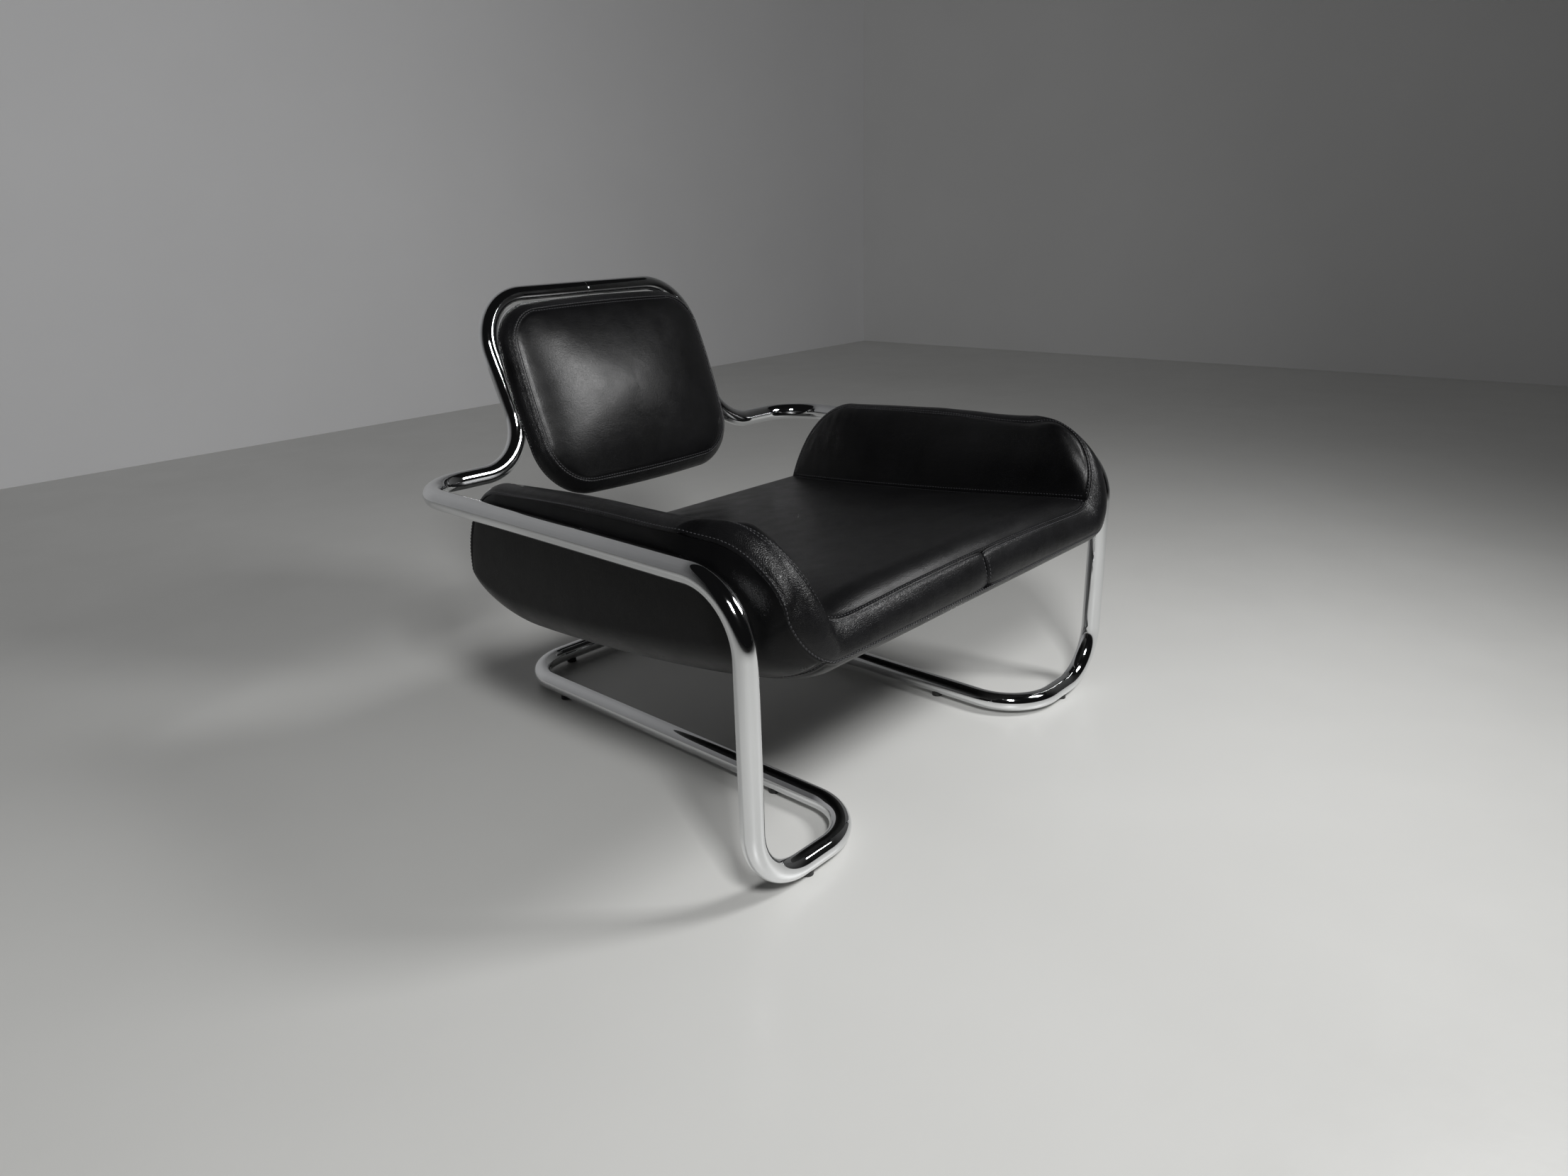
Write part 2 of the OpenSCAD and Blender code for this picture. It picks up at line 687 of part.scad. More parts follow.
module seat_spacers() {
    color(steel_c) for (s = [0, 1], y = seat_bolt_ys) mirror([s, 0, 0]) difference() {
        along_x(seat_x + seat_fit, y, arm_z)
            cylinder(d = spacer_d, h = tube_r, $fn = small_fn);
        along_x(seat_x, y, arm_z)
            cylinder(d = bolt_hole_d, h = tube_r + over, $fn = small_fn);
        translate([frame_w / 2, y, arm_z]) rotate([90, 0, 0])
            cylinder(r = tube_r + seat_fit, h = 2 * spacer_d, center = true, $fn = tube_fn);
    }
}

module seat_inserts() {
    color(steel_c) for (s = [0, 1], y = seat_bolt_ys) mirror([s, 0, 0]) difference() {
        along_x(insert_in_x, y, arm_z)
            cylinder(d = insert_d, h = seat_x - insert_in_x, $fn = small_fn);
        along_x(insert_in_x - over, y, arm_z)
            cylinder(d = bolt_hole_d, h = seat_x - insert_in_x + 2 * over, $fn = small_fn);
    }
}

// Back pad, in the frame of the lean
pad_hw = back_top_w / 2 - pad_side_in;
pad_s0 = -pad_drop;
pad_s1 = back_l - pad_top_gap;
pad_t0 = tube_r + 2 * soft_gap;
board_t0 = pad_t0 + leather_t + soft_gap;
board_t1 = board_t0 + back_board_t;
seam_t = pad_t0 + pad_band_d;
band_wall_share = 0.75;
band_wall = pad_taper * band_wall_share;
band_top_in = pad_taper + seam_h;

// Outline of the pad, drawn in on every side by d
pad_arc_steps = 6;
pad_side_q_share = [0.2, 0.5, 0.8];
pad_bow_share = 0.012;
function pad_corner(cx, cs, r, a0) = [for (k = [0 : pad_arc_steps])
    let (a = a0 + 90 * k / pad_arc_steps) [cx + r * cos(a), cs + r * sin(a)]];
function pad_side(a, b, out, bow) = [for (q = pad_side_q_share)
    mix(a, b, q) + out * bow * (1 - pow(2 * q - 1, 2))];
function pad_outline(d) =
    let (hw = pad_hw - d, s0 = pad_s0 + d, s1 = pad_s1 - d,
         rt = max(pad_top_r - d, d / 9), rb = max(pad_foot_r - d, d / 9), bow = hw * pad_bow_share,
         c1 = pad_corner(hw - rb, s0 + rb, rb, -90), c2 = pad_corner(hw - rt, s1 - rt, rt, 0),
         c3 = pad_corner(-hw + rt, s1 - rt, rt, 90), c4 = pad_corner(-hw + rb, s0 + rb, rb, 180),
         e = pad_arc_steps)
    concat(c1, pad_side(c1[e], c2[0], [1, 0], bow), c2, pad_side(c2[e], c3[0], [0, 1], bow),
           c3, pad_side(c3[e], c4[0], [-1, 0], bow), c4, pad_side(c4[e], c1[0], [0, -1], bow));
function pad_ring(d, t) = [for (p = pad_outline(d)) [p[0], p[1], t]];

module back_board() {
    color(wood_c) in_back() difference() {
        translate([0, 0, board_t0]) linear_extrude(height = back_board_t)
            polygon(pad_outline(band_wall + soft_gap));
        screw_holes(board_t0 - over, back_board_t + 2 * over, bolt_hole_d);
    }
}

module back_rear_cover() {
    color(leather_c) in_back() difference() {
        translate([0, 0, pad_t0]) linear_extrude(height = leather_t)
            polygon(pad_outline(band_wall + soft_gap));
        screw_holes(pad_t0 - over, leather_t + 2 * over, bolt_hole_d);
    }
}

// Crowned cushion over the board, inside the band, out to the front seam
crown_in_share = [0.03, 0.1, 0.22, 0.38, 0.56, 0.76];
module back_cushion() {
    half = (pad_s1 - pad_s0) / 2;
    seam_in = band_top_in + soft_gap;
    rings = concat(
        [pad_ring(band_wall + soft_gap, board_t1 + soft_gap)],
        [pad_ring(seam_in, seam_t - seam_h)],
        [for (q = crown_in_share)
            pad_ring(mix(seam_in, half, q),
                     seam_t + pad_crown * (1 - pow(1 - q, crown_power_share)))]
    );
    color(leather_c) in_back() capped_solid(rings);
}

// Closed solid through flat rings, with a fan from a middle point on both ends
module capped_solid(rings) {
    n = len(rings[0]);
    last = (len(rings) - 1) * n;
    total = len(rings) * n;
    mid = (pad_s0 + pad_s1) / 2;
    polyhedron(
        points = concat([for (r = rings, p = r) p],
                        [[0, mid, rings[0][0][2]], [0, mid, rings[len(rings) - 1][0][2]]]),
        faces = concat(
            [for (i = [0 : len(rings) - 2], j = [0 : n - 1])
                let (a = i * n + j, b = i * n + (j + 1) % n, c = a + n, d = b + n)
                each [[a, c, b], [b, c, d]]],
            [for (j = [0 : n - 1]) [total, j, (j + 1) % n]],
            [for (j = [0 : n - 1]) [total + 1, last + (j + 1) % n, last + j]]
        ),
        convexity = 4
    );
}

// Sewn band of the pad: a closed ring, widest at its rear seam
pad_band_share = [0, 0.08, 0.3, 0.6, 0.92, 1];
module back_band() {
    outer_rings = [for (k = pad_band_share)
        let (bulge = seam_h * (1 - pow(2 * k - 1, 2)) - (k == 0 || k == 1 ? 0 : -seam_h / 2))
        pad_ring(seam_h / 2 + pad_taper * k - bulge + (k == 1 ? seam_h / 2 : 0),
                 mix(pad_t0, seam_t, k) - (k == 1 ? seam_h : 0))];
    rings = concat(outer_rings,
                   [pad_ring(band_wall, board_t1 + soft_gap), pad_ring(band_wall, pad_t0)]);
    n = len(rings[0]);
    m = len(rings);
    color(leather_c) in_back() polyhedron(
        points = [for (r = rings, p = r) p],
        faces = [for (i = [0 : m - 1], j = [0 : n - 1])
            let (a = i * n + j, b = i * n + (j + 1) % n,
                 c = ((i + 1) % m) * n + j, d = ((i + 1) % m) * n + (j + 1) % n)
            each [[a, c, b], [b, c, d]]],
        convexity = 6
    );
}

// Steel tabs on the uprights, and the screws that hold the pad's board to them
tab_t1 = tube_r + soft_gap;
tab_t0 = tab_t1 - tab_t;
tab_ss = [hoop_cut + tab_inset + tab_w / 2, back_l - hoop_cut - tab_inset - tab_w / 2];
function upright_x(s) = mix(back_foot_w, back_top_w, s / back_l) / 2;
function screw_x(s) = upright_x(s) - tab_reach + tab_w / 2;

module screw_holes(t, h, d) {
    for (m = [0, 1], s = tab_ss) mirror([m, 0, 0])
        translate([screw_x(s), s, t]) cylinder(d = d, h = h, $fn = small_fn);
}

module upright_solid(r) {
    placed([cos(spread), -sin(spread), 0], [0, 0, -1], upright_dir, [back_foot_w / 2, 0, 0])
        cylinder(r = r, h = back_l, $fn = tube_fn);
}

module back_tabs() {
    color(chrome_c) in_back() difference() {
        for (m = [0, 1], s = tab_ss) mirror([m, 0, 0])
            translate([upright_x(s) - tab_reach, s - tab_w / 2, tab_t0])
                cube([tab_reach, tab_w, tab_t]);
        for (m = [0, 1]) mirror([m, 0, 0]) upright_solid(tube_r + seat_fit);
        for (m = [0, 1], s = tab_ss) mirror([m, 0, 0])
            translate([upright_x(s), s - tab_w, tab_t0 - over])
                cube([tube_r, 2 * tab_w, tab_t + 2 * over]);
        screw_holes(tab_t0 - over, tab_t + 2 * over, bolt_hole_d);
    }
}

module back_screws() {
    color(steel_c) in_back() {
        screw_holes(tab_t0 - seat_fit - bolt_head_h, board_t1 - tab_t0 + bolt_head_h, bolt_d);
        screw_holes(tab_t0 - seat_fit - bolt_head_h, bolt_head_h, bolt_head_d);
    }
}

side_loop_left();
side_loop_right();
upright_left();
upright_right();
top_rail_left();
top_rail_right();
top_joint_plug();
base_joint_plug();
front_glide_left();
front_glide_right();
runner_front_glide_left();
runner_front_glide_right();
runner_rear_glide_left();
runner_rear_glide_right();
rear_glide_left();
rear_glide_right();
seat_shell();
seat_panel();
wing_panel_left();
wing_panel_right();
seat_bottom_cover();
side_panel_left();
side_panel_right();
edge_band_left();
edge_band_right();
seat_bolts();
seat_spacers();
seat_inserts();
back_board();
back_cushion();
back_band();
back_rear_cover();
back_tabs();
back_screws();
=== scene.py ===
import bpy
import json
import math
import numpy as np
from mathutils import Matrix, Vector, noise


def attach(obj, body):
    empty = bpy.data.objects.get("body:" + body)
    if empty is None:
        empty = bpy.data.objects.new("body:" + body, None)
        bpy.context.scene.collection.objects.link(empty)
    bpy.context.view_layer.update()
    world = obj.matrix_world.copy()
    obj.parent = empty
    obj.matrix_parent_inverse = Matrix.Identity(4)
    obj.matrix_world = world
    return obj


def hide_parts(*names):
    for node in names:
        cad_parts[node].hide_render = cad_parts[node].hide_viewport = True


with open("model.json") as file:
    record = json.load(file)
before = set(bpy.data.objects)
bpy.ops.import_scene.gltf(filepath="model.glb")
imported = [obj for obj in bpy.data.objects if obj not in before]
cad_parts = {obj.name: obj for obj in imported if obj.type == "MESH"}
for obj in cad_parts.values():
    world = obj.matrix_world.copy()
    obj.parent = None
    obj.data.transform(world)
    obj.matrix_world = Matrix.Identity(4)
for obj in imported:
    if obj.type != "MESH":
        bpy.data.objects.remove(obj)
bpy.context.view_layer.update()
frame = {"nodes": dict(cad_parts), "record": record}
nodes = frame["nodes"]
scene = bpy.context.scene
MM = 0.001

# Sizes of the chair in millimetres, the same as in the part's source
TUBE_D, BEND_R = 28.0, 80.0
FRAME_W, ARM_Z, ARM_L, BASE_L = 797.0, 386.0, 645.0, 737.0
RUNNER_W, BACK_TOP_W, BACK_FOOT_W = 390.0, 417.0, 389.0
BACK_LEAN, BACK_L = 20.4, 260.0
PAD_DROP, PAD_TOP_GAP, PAD_SIDE_IN = 67.0, 15.0, 5.0
PAD_TOP_R, PAD_FOOT_R, PAD_BAND_D, PAD_TAPER = 74.0, 90.0, 26.0, 16.0
PAD_CROWN, BOARD_T, LEATHER_T = 15.0, 10.0, 2.0
OVERHANG, SEAT_D, SIDE_GAP = 33.0, 587.0, 2.5
WING_T, WING_TOP_T = 82.0, 38.0
PAN_DROP_F, PAN_DROP_R, WING_RISE_F, WING_RISE_R = 50.0, 98.0, 51.0, 27.0
WING_FR, WING_RR = 106.0, 95.0
EDGE_T, PAN_T, CORNER_H, WING_OUT_R, NOSE_IN, DIP = 55.0, 85.0, 61.0, 168.0, 24.0, 12.0
SHELL_T, COVER_T, SEAM_H, GAP = 9.0, 12.0, 2.6, 0.3
PAN_CROWN, WING_CROWN = 9.0, 6.0
GLIDE_H = 5.0

# Sizes that only the scene has, in millimetres: how far a pad falls to its seam beyond the seam's
# own depth, how far the back pad's middle stands out and lies to the right, and the stitches
LIP_FALL, PAD_FULL, PAD_APEX_X = 2.2, 9.0, 30.0
STITCH_PITCH, STITCH_IN, STITCH_L, STITCH_R, STITCH_TRIM = 5.0, 5.0, 3.4, 0.62, 7.0
# Where the two tube halves meet: half their gap, the ease of their rims and a ring behind each rim
JOINT_GAP, RIM_EASE, RIM_RING = 0.12, 0.5, 1.2
TUBE_SIDES, BEND_STEPS, STRAIGHT_STEP = 56, 36, 40
# Cloth: its frames and pressure, and the shares of a crown that it starts with and may swell by
CLOTH_FRAMES, PRESSURE, CROWN_START, CROWN_SWELL = 20, 4.0, 0.35, 0.65
# A seam: how wide the leather rolls in to it, and where the lip behind its groove starts
ROLL_W, LIP_FROM = 7.0, 4.0
BULGE, BULGE_POWER = 0.17, 2.2

R = TUBE_D / 2
BASE_Z = GLIDE_H + R
# Places across an edge band where the CAD's section has its points
BAND_K = [0, 0.07, 0.2, 0.4, 0.6, 0.8, 0.93, 1]
SLOPE = EDGE_T * 0.25


def bulge(k, w):
    """How far a band of width w stands out at the share k of its width."""
    return w * BULGE * (1 - abs(2 * k - 1) ** BULGE_POWER)


BAND_FRONT = GAP + max(SLOPE * k + bulge(k, math.hypot(SLOPE, EDGE_T)) for k in BAND_K)
Y_LEG = round((OVERHANG + BAND_FRONT - BASE_L - R) / 2, 3)
Y_FOOT = Y_LEG + ARM_L
Y_REAR = Y_LEG + BASE_L
LEAN = math.radians(BACK_LEAN)
DEG = math.pi / 180


def mix(a, b, k):
    return a + (b - a) * k


def unit(v):
    return v / np.maximum(np.linalg.norm(v, axis=-1, keepdims=True), 1e-9)


def smooth(x, lo, hi):
    k = np.clip((x - lo) / (hi - lo), 0, 1)
    return k * k * (3 - 2 * k)


def run_length(line):
    """The length run along a line, at each of its points."""
    return np.concatenate([[0], np.cumsum(np.linalg.norm(np.diff(line, axis=0), axis=1))])


def back_pt(x, s, t):
    """A point of the back: x across, s up along the lean, t ahead of the uprights."""
    x, s, t = np.broadcast_arrays(x, s, t)
    return np.stack([x, Y_FOOT + s * math.sin(LEAN) - t * math.cos(LEAN),
                     ARM_Z + s * math.cos(LEAN) + t * math.sin(LEAN)], -1)


# Camera, at the photograph's viewing angle
def make_camera():
    yaw, pitch, roll = -47.49433 * DEG, 19.67614 * DEG, -1.55603 * DEG
    back = Vector((math.sin(yaw) * math.cos(pitch), -math.cos(yaw) * math.cos(pitch),
                   math.sin(pitch)))
    right = Vector((math.cos(yaw), math.sin(yaw), 0))
    up = back.cross(right)
    r2 = math.cos(roll) * right + math.sin(roll) * up
    u2 = -math.sin(roll) * right + math.cos(roll) * up
    cam = bpy.data.objects.new("Camera", bpy.data.cameras.new("Camera"))
    scene.collection.objects.link(cam)
    m = Matrix((r2, u2, back)).transposed().to_4x4()
    m.translation = Vector((-1.105618, -1.05488, 0.741085))
    cam.matrix_world = m
    cam.data.sensor_width = 36.0
    cam.data.lens = 24.1485
    cam.data.clip_start = 0.05
    cam.data.clip_end = 60
    scene.camera = cam


make_camera()


# Meshes from arrays, in millimetres
def mesh_object(name, verts, faces, mat, shade=True):
    me = bpy.data.meshes.new(name)
    v = np.asarray(verts, float).reshape(-1, 3) * MM
    me.from_pydata([tuple(p) for p in v.tolist()], [], faces)
    me.validate()
    me.update()
    if shade:
        me.polygons.foreach_set("use_smooth", [True] * len(me.polygons))
    ob = bpy.data.objects.new(name, me)
    scene.collection.objects.link(ob)
    if mat:
        me.materials.append(mat)
    return ob


def grid_quads(nu, nv, off=0, wrap_v=False, flip=False):
    out = []
    for u in range(nu - 1):
        for v in range(nv if wrap_v else nv - 1):
            w = (v + 1) % nv
            q = (off + u * nv + v, off + (u + 1) * nv + v, off + (u + 1) * nv + w, off + u * nv + w)
            out.append(q[::-1] if flip else q)
    return out


def slab_faces(nu, nv, flip=False):
    """Faces of the closed slab between two grids of nu by nv points, one after the other."""
    n = nu * nv
    walls = []
    for u in range(nu - 1):
        a, b = u * nv, (u + 1) * nv
        walls.append((a, n + a, n + b, b))
        walls.append((a + nv - 1, b + nv - 1, n + b + nv - 1, n + a + nv - 1))
    for v in range(nv - 1):
        a = (nu - 1) * nv + v
        walls.append((v, v + 1, n + v + 1, n + v))
        walls.append((a, n + a, n + a + 1, a + 1))
    if flip:
        walls = [w[::-1] for w in walls]
    return grid_quads(nu, nv, flip=flip) + grid_quads(nu, nv, n, flip=not flip) + walls


# Materials
def new_mat(name):
    m = bpy.data.materials.new(name)
    m.use_nodes = True
    nt = m.node_tree
    for n in list(nt.nodes):
        nt.nodes.remove(n)
    out = nt.nodes.new("ShaderNodeOutputMaterial")
    b = nt.nodes.new("ShaderNodeBsdfPrincipled")
    nt.links.new(b.outputs[0], out.inputs[0])
    return m, nt, b


def node(nt, kind, values=(), **settings):
    n = nt.nodes.new("ShaderNode" + kind)
    for k, v in settings.items():
        setattr(n, k, v)
    for k, v in values:
        n.inputs[k].default_value = v
    return n


def ramp(nt, src, stops):
    r = nt.nodes.new("ShaderNodeValToRGB")
    nt.links.new(src, r.inputs[0])
    e = r.color_ramp.elements
    while len(e) < len(stops):
        e.new(0.5)
    for i, (p, c) in enumerate(stops):
        e[i].position = p
        e[i].color = (c, c, c, 1) if isinstance(c, float) else (*c, 1)
    return r.outputs[0]


def noise_of(nt, co, scale, detail=3.0, rough=0.55, stretch=None):
    if stretch:
        mp = node(nt, "Mapping", [("Scale", stretch)])
        nt.links.new(co, mp.inputs["Vector"])
        co = mp.outputs[0]
    n = node(nt, "TexNoise", [("Scale", scale), ("Detail", detail), ("Roughness", rough)])
    nt.links.new(co, n.inputs["Vector"])
    return n.outputs[0]


def bump_chain(nt, bsdf, layers):
    last = None
    for height, dist, strength in layers:
        b = node(nt, "Bump", [("Distance", dist), ("Strength", strength)])
        nt.links.new(height, b.inputs["Height"])
        if last:
            nt.links.new(last, b.inputs["Normal"])
        last = b.outputs[0]
    nt.links.new(last, bsdf.inputs["Normal"])


def leather(name, dark=0.0022, light=0.005, r0=0.27, r1=0.37, grain=0.00010, folds=0.0008,
            cells=620.0, fold_scale=26.0, creases=0.00003, shine=0.3):
    """Black leather: its tones, and its roughness from r0 to r1.

    grain, folds and creases are depths in metres; cells and fold_scale set how fine they are.
    """
    m, nt, b = new_mat(name)
    co = node(nt, "TexCoord").outputs["Object"]
    tone = noise_of(nt, co, 9.0, 5.0, 0.6)
    col = ramp(nt, tone, [(0.3, (dark, dark, dark * 1.12)), (0.72, (light, light, light * 1.12))])
    nt.links.new(col, b.inputs["Base Color"])
    scuff = noise_of(nt, co, 34.0, 6.0, 0.62)
    nt.links.new(ramp(nt, scuff, [(0.3, r0), (0.7, r1)]), b.inputs["Roughness"])
    vor = node(nt, "TexVoronoi", [("Scale", cells)], feature="DISTANCE_TO_EDGE")
    nt.links.new(co, vor.inputs["Vector"])
    pebble = ramp(nt, vor.outputs[0], [(0.0, 0.0), (0.35, 1.0)])
    fold = noise_of(nt, co, fold_scale, 4.0, 0.5)
    fine = noise_of(nt, co, 300.0, 3.0, 0.6)
    # Hair-thin creases, where a slow noise crosses its middle value
    slow = noise_of(nt, co, 17.0, 5.0, 0.62, (1.0, 1.0, 2.2))
    crease = ramp(nt, slow, [(0.475, 1.0), (0.5, 0.0), (0.525, 1.0)])
    bump_chain(nt, b, [(fold, folds, 1.0), (fine, 0.00014, 0.6), (crease, creases, 1.0),
                       (pebble, grain, 0.8)])
    b.inputs["Specular IOR Level"].default_value = shine
    return m


def chrome_mat(name):
    m, nt, b = new_mat(name)
    co = node(nt, "TexCoord").outputs["Object"]
    b.inputs["Metallic"].default_value = 1.0
    tone = ramp(nt, noise_of(nt, co, 7.0, 4.0),
                [(0.3, (0.78, 0.79, 0.80)), (0.7, (0.85, 0.86, 0.87))])
    nt.links.new(tone, b.inputs["Base Color"])
    gloss = ramp(nt, noise_of(nt, co, 55.0, 6.0, 0.65), [(0.35, 0.028), (0.75, 0.075)])
    nt.links.new(gloss, b.inputs["Roughness"])
    bump_chain(nt, b, [(noise_of(nt, co, 90.0, 2.0), 0.00002, 0.5)])
    return m


def plain_mat(name, c0, c1, r0, r1, metallic=0.0, scale=60.0, bump=0.0002, stretch=None):
    m, nt, b = new_mat(name)
    co = node(nt, "TexCoord").outputs["Object"]
    b.inputs["Metallic"].default_value = metallic
    n = noise_of(nt, co, scale, 5.0, 0.6, stretch)
    nt.links.new(ramp(nt, n, [(0.3, c0), (0.7, c1)]), b.inputs["Base Color"])
    nt.links.new(ramp(nt, n, [(0.3, r0), (0.7, r1)]), b.inputs["Roughness"])
    bump_chain(nt, b, [(n, bump, 0.5)])
    return m


CHROME = chrome_mat("chrome_tube")
PAN_LEATHER = leather("leather_seat", dark=0.0025, light=0.0048, r0=0.29, r1=0.38,
                      fold_scale=18.0, folds=0.0012)
WING_LEATHER = leather("leather_wing")
# Darker copy of the chair's leather for the sides, the underside, the back pad's rear and the hidden
# covers: painted shade for faces turned from the lamps
SIDE_LEATHER_PAINTED_SHADE = leather("leather_side_painted_shade", dark=0.002, light=0.0036, fold_scale=12.0, shine=0.2)
# Leather for the bands: its random tone reaches a lighter value than the other leathers, a painted
# sheen on the same black leather
BAND_LEATHER_PAINTED_SHEEN = leather("leather_band_painted_sheen", light=0.009, grain=0.00017, cells=560.0,
                       fold_scale=60.0, folds=0.0006)
PAD_LEATHER = leather("leather_pad", fold_scale=14.0, folds=0.0007, r0=0.29, r1=0.36,
                      grain=0.00006, shine=0.36)
THREAD = plain_mat("thread", (0.025, 0.025, 0.028), (0.05, 0.05, 0.055), 0.34, 0.46,
                   scale=900.0)
PLY = plain_mat("plywood", (0.50, 0.36, 0.22), (0.66, 0.50, 0.33), 0.5, 0.7,
                scale=30.0, stretch=(1, 9, 9))
STEEL = plain_mat("steel", (0.50, 0.51, 0.53), (0.60, 0.61, 0.63), 0.28, 0.42, metallic=1.0,
                  scale=220.0, bump=0.00005, stretch=(1, 14, 1))
GLIDE = plain_mat("glide_plastic", (0.018, 0.018, 0.018), (0.04, 0.04, 0.04), 0.45, 0.65,
                  scale=400.0)
SLOT_MATS = {"chrome": CHROME, "leather": SIDE_LEATHER_PAINTED_SHADE, "plywood": PLY, "steel": STEEL,
             "glide_black": GLIDE}

for sp in frame["record"]["subparts"]:
    ob = nodes[sp["node"]]
    ob.data.materials.clear()
    ob.data.materials.append(SLOT_MATS[sp["material_slot"]])


# Tube halves, swept smooth along the same corners as the CAD loop
def tube_path(sign):
    top = back_pt(0.0, BACK_L, 0.0)
    side, foot = sign * FRAME_W / 2, sign * RUNNER_W / 2
    corners = [np.array([sign * JOINT_GAP, top[1], top[2]]),
               back_pt(sign * BACK_TOP_W / 2, BACK_L, 0.0),
               back_pt(sign * BACK_FOOT_W / 2, 0.0, 0.0)]
    low = ((side, Y_FOOT, ARM_Z), (side, Y_LEG, ARM_Z), (side, Y_LEG, BASE_Z),
           (foot, Y_LEG, BASE_Z), (foot, Y_REAR, BASE_Z), (sign * JOINT_GAP, Y_REAR, BASE_Z))
    corners += [np.array(c) for c in low]
    pts = [corners[0]]
    for i in range(1, len(corners) - 1):
        p = corners[i]
        d1, d2 = unit(p - corners[i - 1]), unit(corners[i + 1] - p)
        turn = math.acos(float(np.clip(d1 @ d2, -1, 1)))
        cut = BEND_R * math.tan(turn / 2)
        a, inward = p - d1 * cut, unit(d2 - d1 * (d1 @ d2))
        c = a + inward * BEND_R
        for k in range(BEND_STEPS + 1):
            g = turn * k / BEND_STEPS
            pts.append(c - inward * BEND_R * math.cos(g) + d1 * BEND_R * math.sin(g))
    pts.append(corners[-1])
    out = [pts[0]]
    for p in pts[1:]:
        gap = np.linalg.norm(p - out[-1])
        if gap < 1e-4:
            continue
        steps = max(1, int(gap // STRAIGHT_STEP))
        base = out[-1]
        for k in range(1, steps + 1):
            out.append(base + (p - base) * k / steps)
    return np.array(out)


def make_tube(name, sign, stands_for):
    """One half of the frame tube, closed where it meets the other half."""
    path = tube_path(sign)
    tan = unit(np.gradient(path, axis=0))
    tan[0], tan[-1] = unit(path[1] - path[0]), unit(path[-1] - path[-2])
    n = TUBE_SIDES
    ang = np.arange(n) * 2 * math.pi / n
    side = unit(np.cross(tan[0], np.array([0.0, 0.0, 1.0])))
    verts = []

    def add(p, r):
        verts.extend(p + r * (np.cos(a) * side + np.sin(a) * up) for a in ang)

    for i, p in enumerate(path):
        if i:
            side = unit(side - tan[i] * (side @ tan[i]))
        up = np.cross(side, tan[i])
        if i == 0:
            add(p, R - RIM_EASE)
            add(p + tan[0] * RIM_EASE, R)
            add(p + tan[0] * RIM_RING, R)
        elif i == len(path) - 1:
            add(p - tan[-1] * RIM_RING, R)
            add(p - tan[-1] * RIM_EASE, R)
            add(p, R - RIM_EASE)
        else:
            add(p, R)
    count = len(verts) // n
    faces = grid_quads(count, n, wrap_v=True, flip=True)
    faces.append(tuple(range(n)))
    faces.append(tuple((count - 1) * n + k for k in range(n))[::-1])
    ob = mesh_object(name, verts, faces, CHROME)
    ob.data.polygons[-1].use_smooth = False
    ob.data.polygons[-2].use_smooth = False
    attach(ob, "root")
    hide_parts(*stands_for)


make_tube("frame_tube_left", 1, ["side_loop_left", "upright_left", "top_rail_left"])
make_tube("frame_tube_right", -1, ["side_loop_right", "upright_right", "top_rail_right"])

# Seat slab, the same surfaces as the CAD. In these names I is inner, O outer, S side, F front,
# R rear, and C the centre of a wing's turn.
SEAT_X = FRAME_W / 2 - R - SIDE_GAP
BASE_X = SEAT_X - WING_T
Y_IF = Y_LEG - OVERHANG
Y_IR = Y_IF + SEAT_D
Y_OF = Y_IF - SLOPE
PAN_FZ, PAN_RZ = ARM_Z - PAN_DROP_F, ARM_Z - PAN_DROP_R
TOP_FZ, TOP_RZ = ARM_Z + WING_RISE_F, ARM_Z + WING_RISE_R
BOW = SEAT_D * 0.01
LOW_Z, FRONT_LOW_Z = PAN_RZ - PAN_T, PAN_FZ - EDGE_T
Y_OR = Y_IR - SEAT_D * 0.04
Y_SR = Y_IR - SEAT_D * 0.022
Y_FC = Y_IF + BOW + WING_FR
Y_RC = Y_IR - WING_RR
OUT_FZ, OUT_RZ = TOP_FZ - WING_RISE_F * 0.14, TOP_RZ - WING_RISE_R * 0.19
CORNER = 0.35
CORNER_BACK = WING_FR * 0.03
SIDE_SEAM = 0.1
FOAM = COVER_T + SHELL_T
GAP_M = GAP / (WING_RISE_F + PAN_DROP_F)


def pan_z(t, m=1.0):
    m = np.minimum(m, 1.0)
    return mix(PAN_RZ, PAN_FZ - DIP * m * m * (1 - m ** 22), np.power(np.clip(1 - t, 0, 1), 1.3))


def under_z(t):
    lift = PAN_T * 0.28 * np.power(np.clip((t - 0.82) / 0.18, 0, None), 2)
    ahead = np.clip(1 - t, 0, 1)
    return mix(LOW_Z, FRONT_LOW_Z, mix(ahead ** 2.15, ahead ** 20, 0.3)) + lift


def inner(m, t):
    """Inner surface: m is up to 1 across the seat and up to 2 over a wing, t runs front to rear."""
    m, t = np.broadcast_arrays(np.asarray(m, float), np.asarray(t, float))
    s, a = np.where(m < 0, -1.0, 1.0), np.abs(m)
    pan_back = BOW * a * a + CORNER_BACK * np.minimum(a, 1) ** 20
    pan = np.stack([a * BASE_X, mix(Y_IF + pan_back, Y_IR, t), pan_z(t, a)], -1)
    f = (a - 1) * math.pi / 2
    back = CORNER_BACK * (1 - np.sin(np.maximum(f, 0))) ** 4
    wing = np.stack([BASE_X + (WING_T - WING_TOP_T) * np.sin(f),
                     mix(Y_FC - WING_FR * np.cos(f) + back, Y_RC + WING_RR * np.cos(f), t),
                     mix(pan_z(t), mix(TOP_FZ, TOP_RZ, t), np.sin(f))], -1)
    p = np.where((a <= 1)[..., None], pan, wing)
    p[..., 0] *= s
    return p


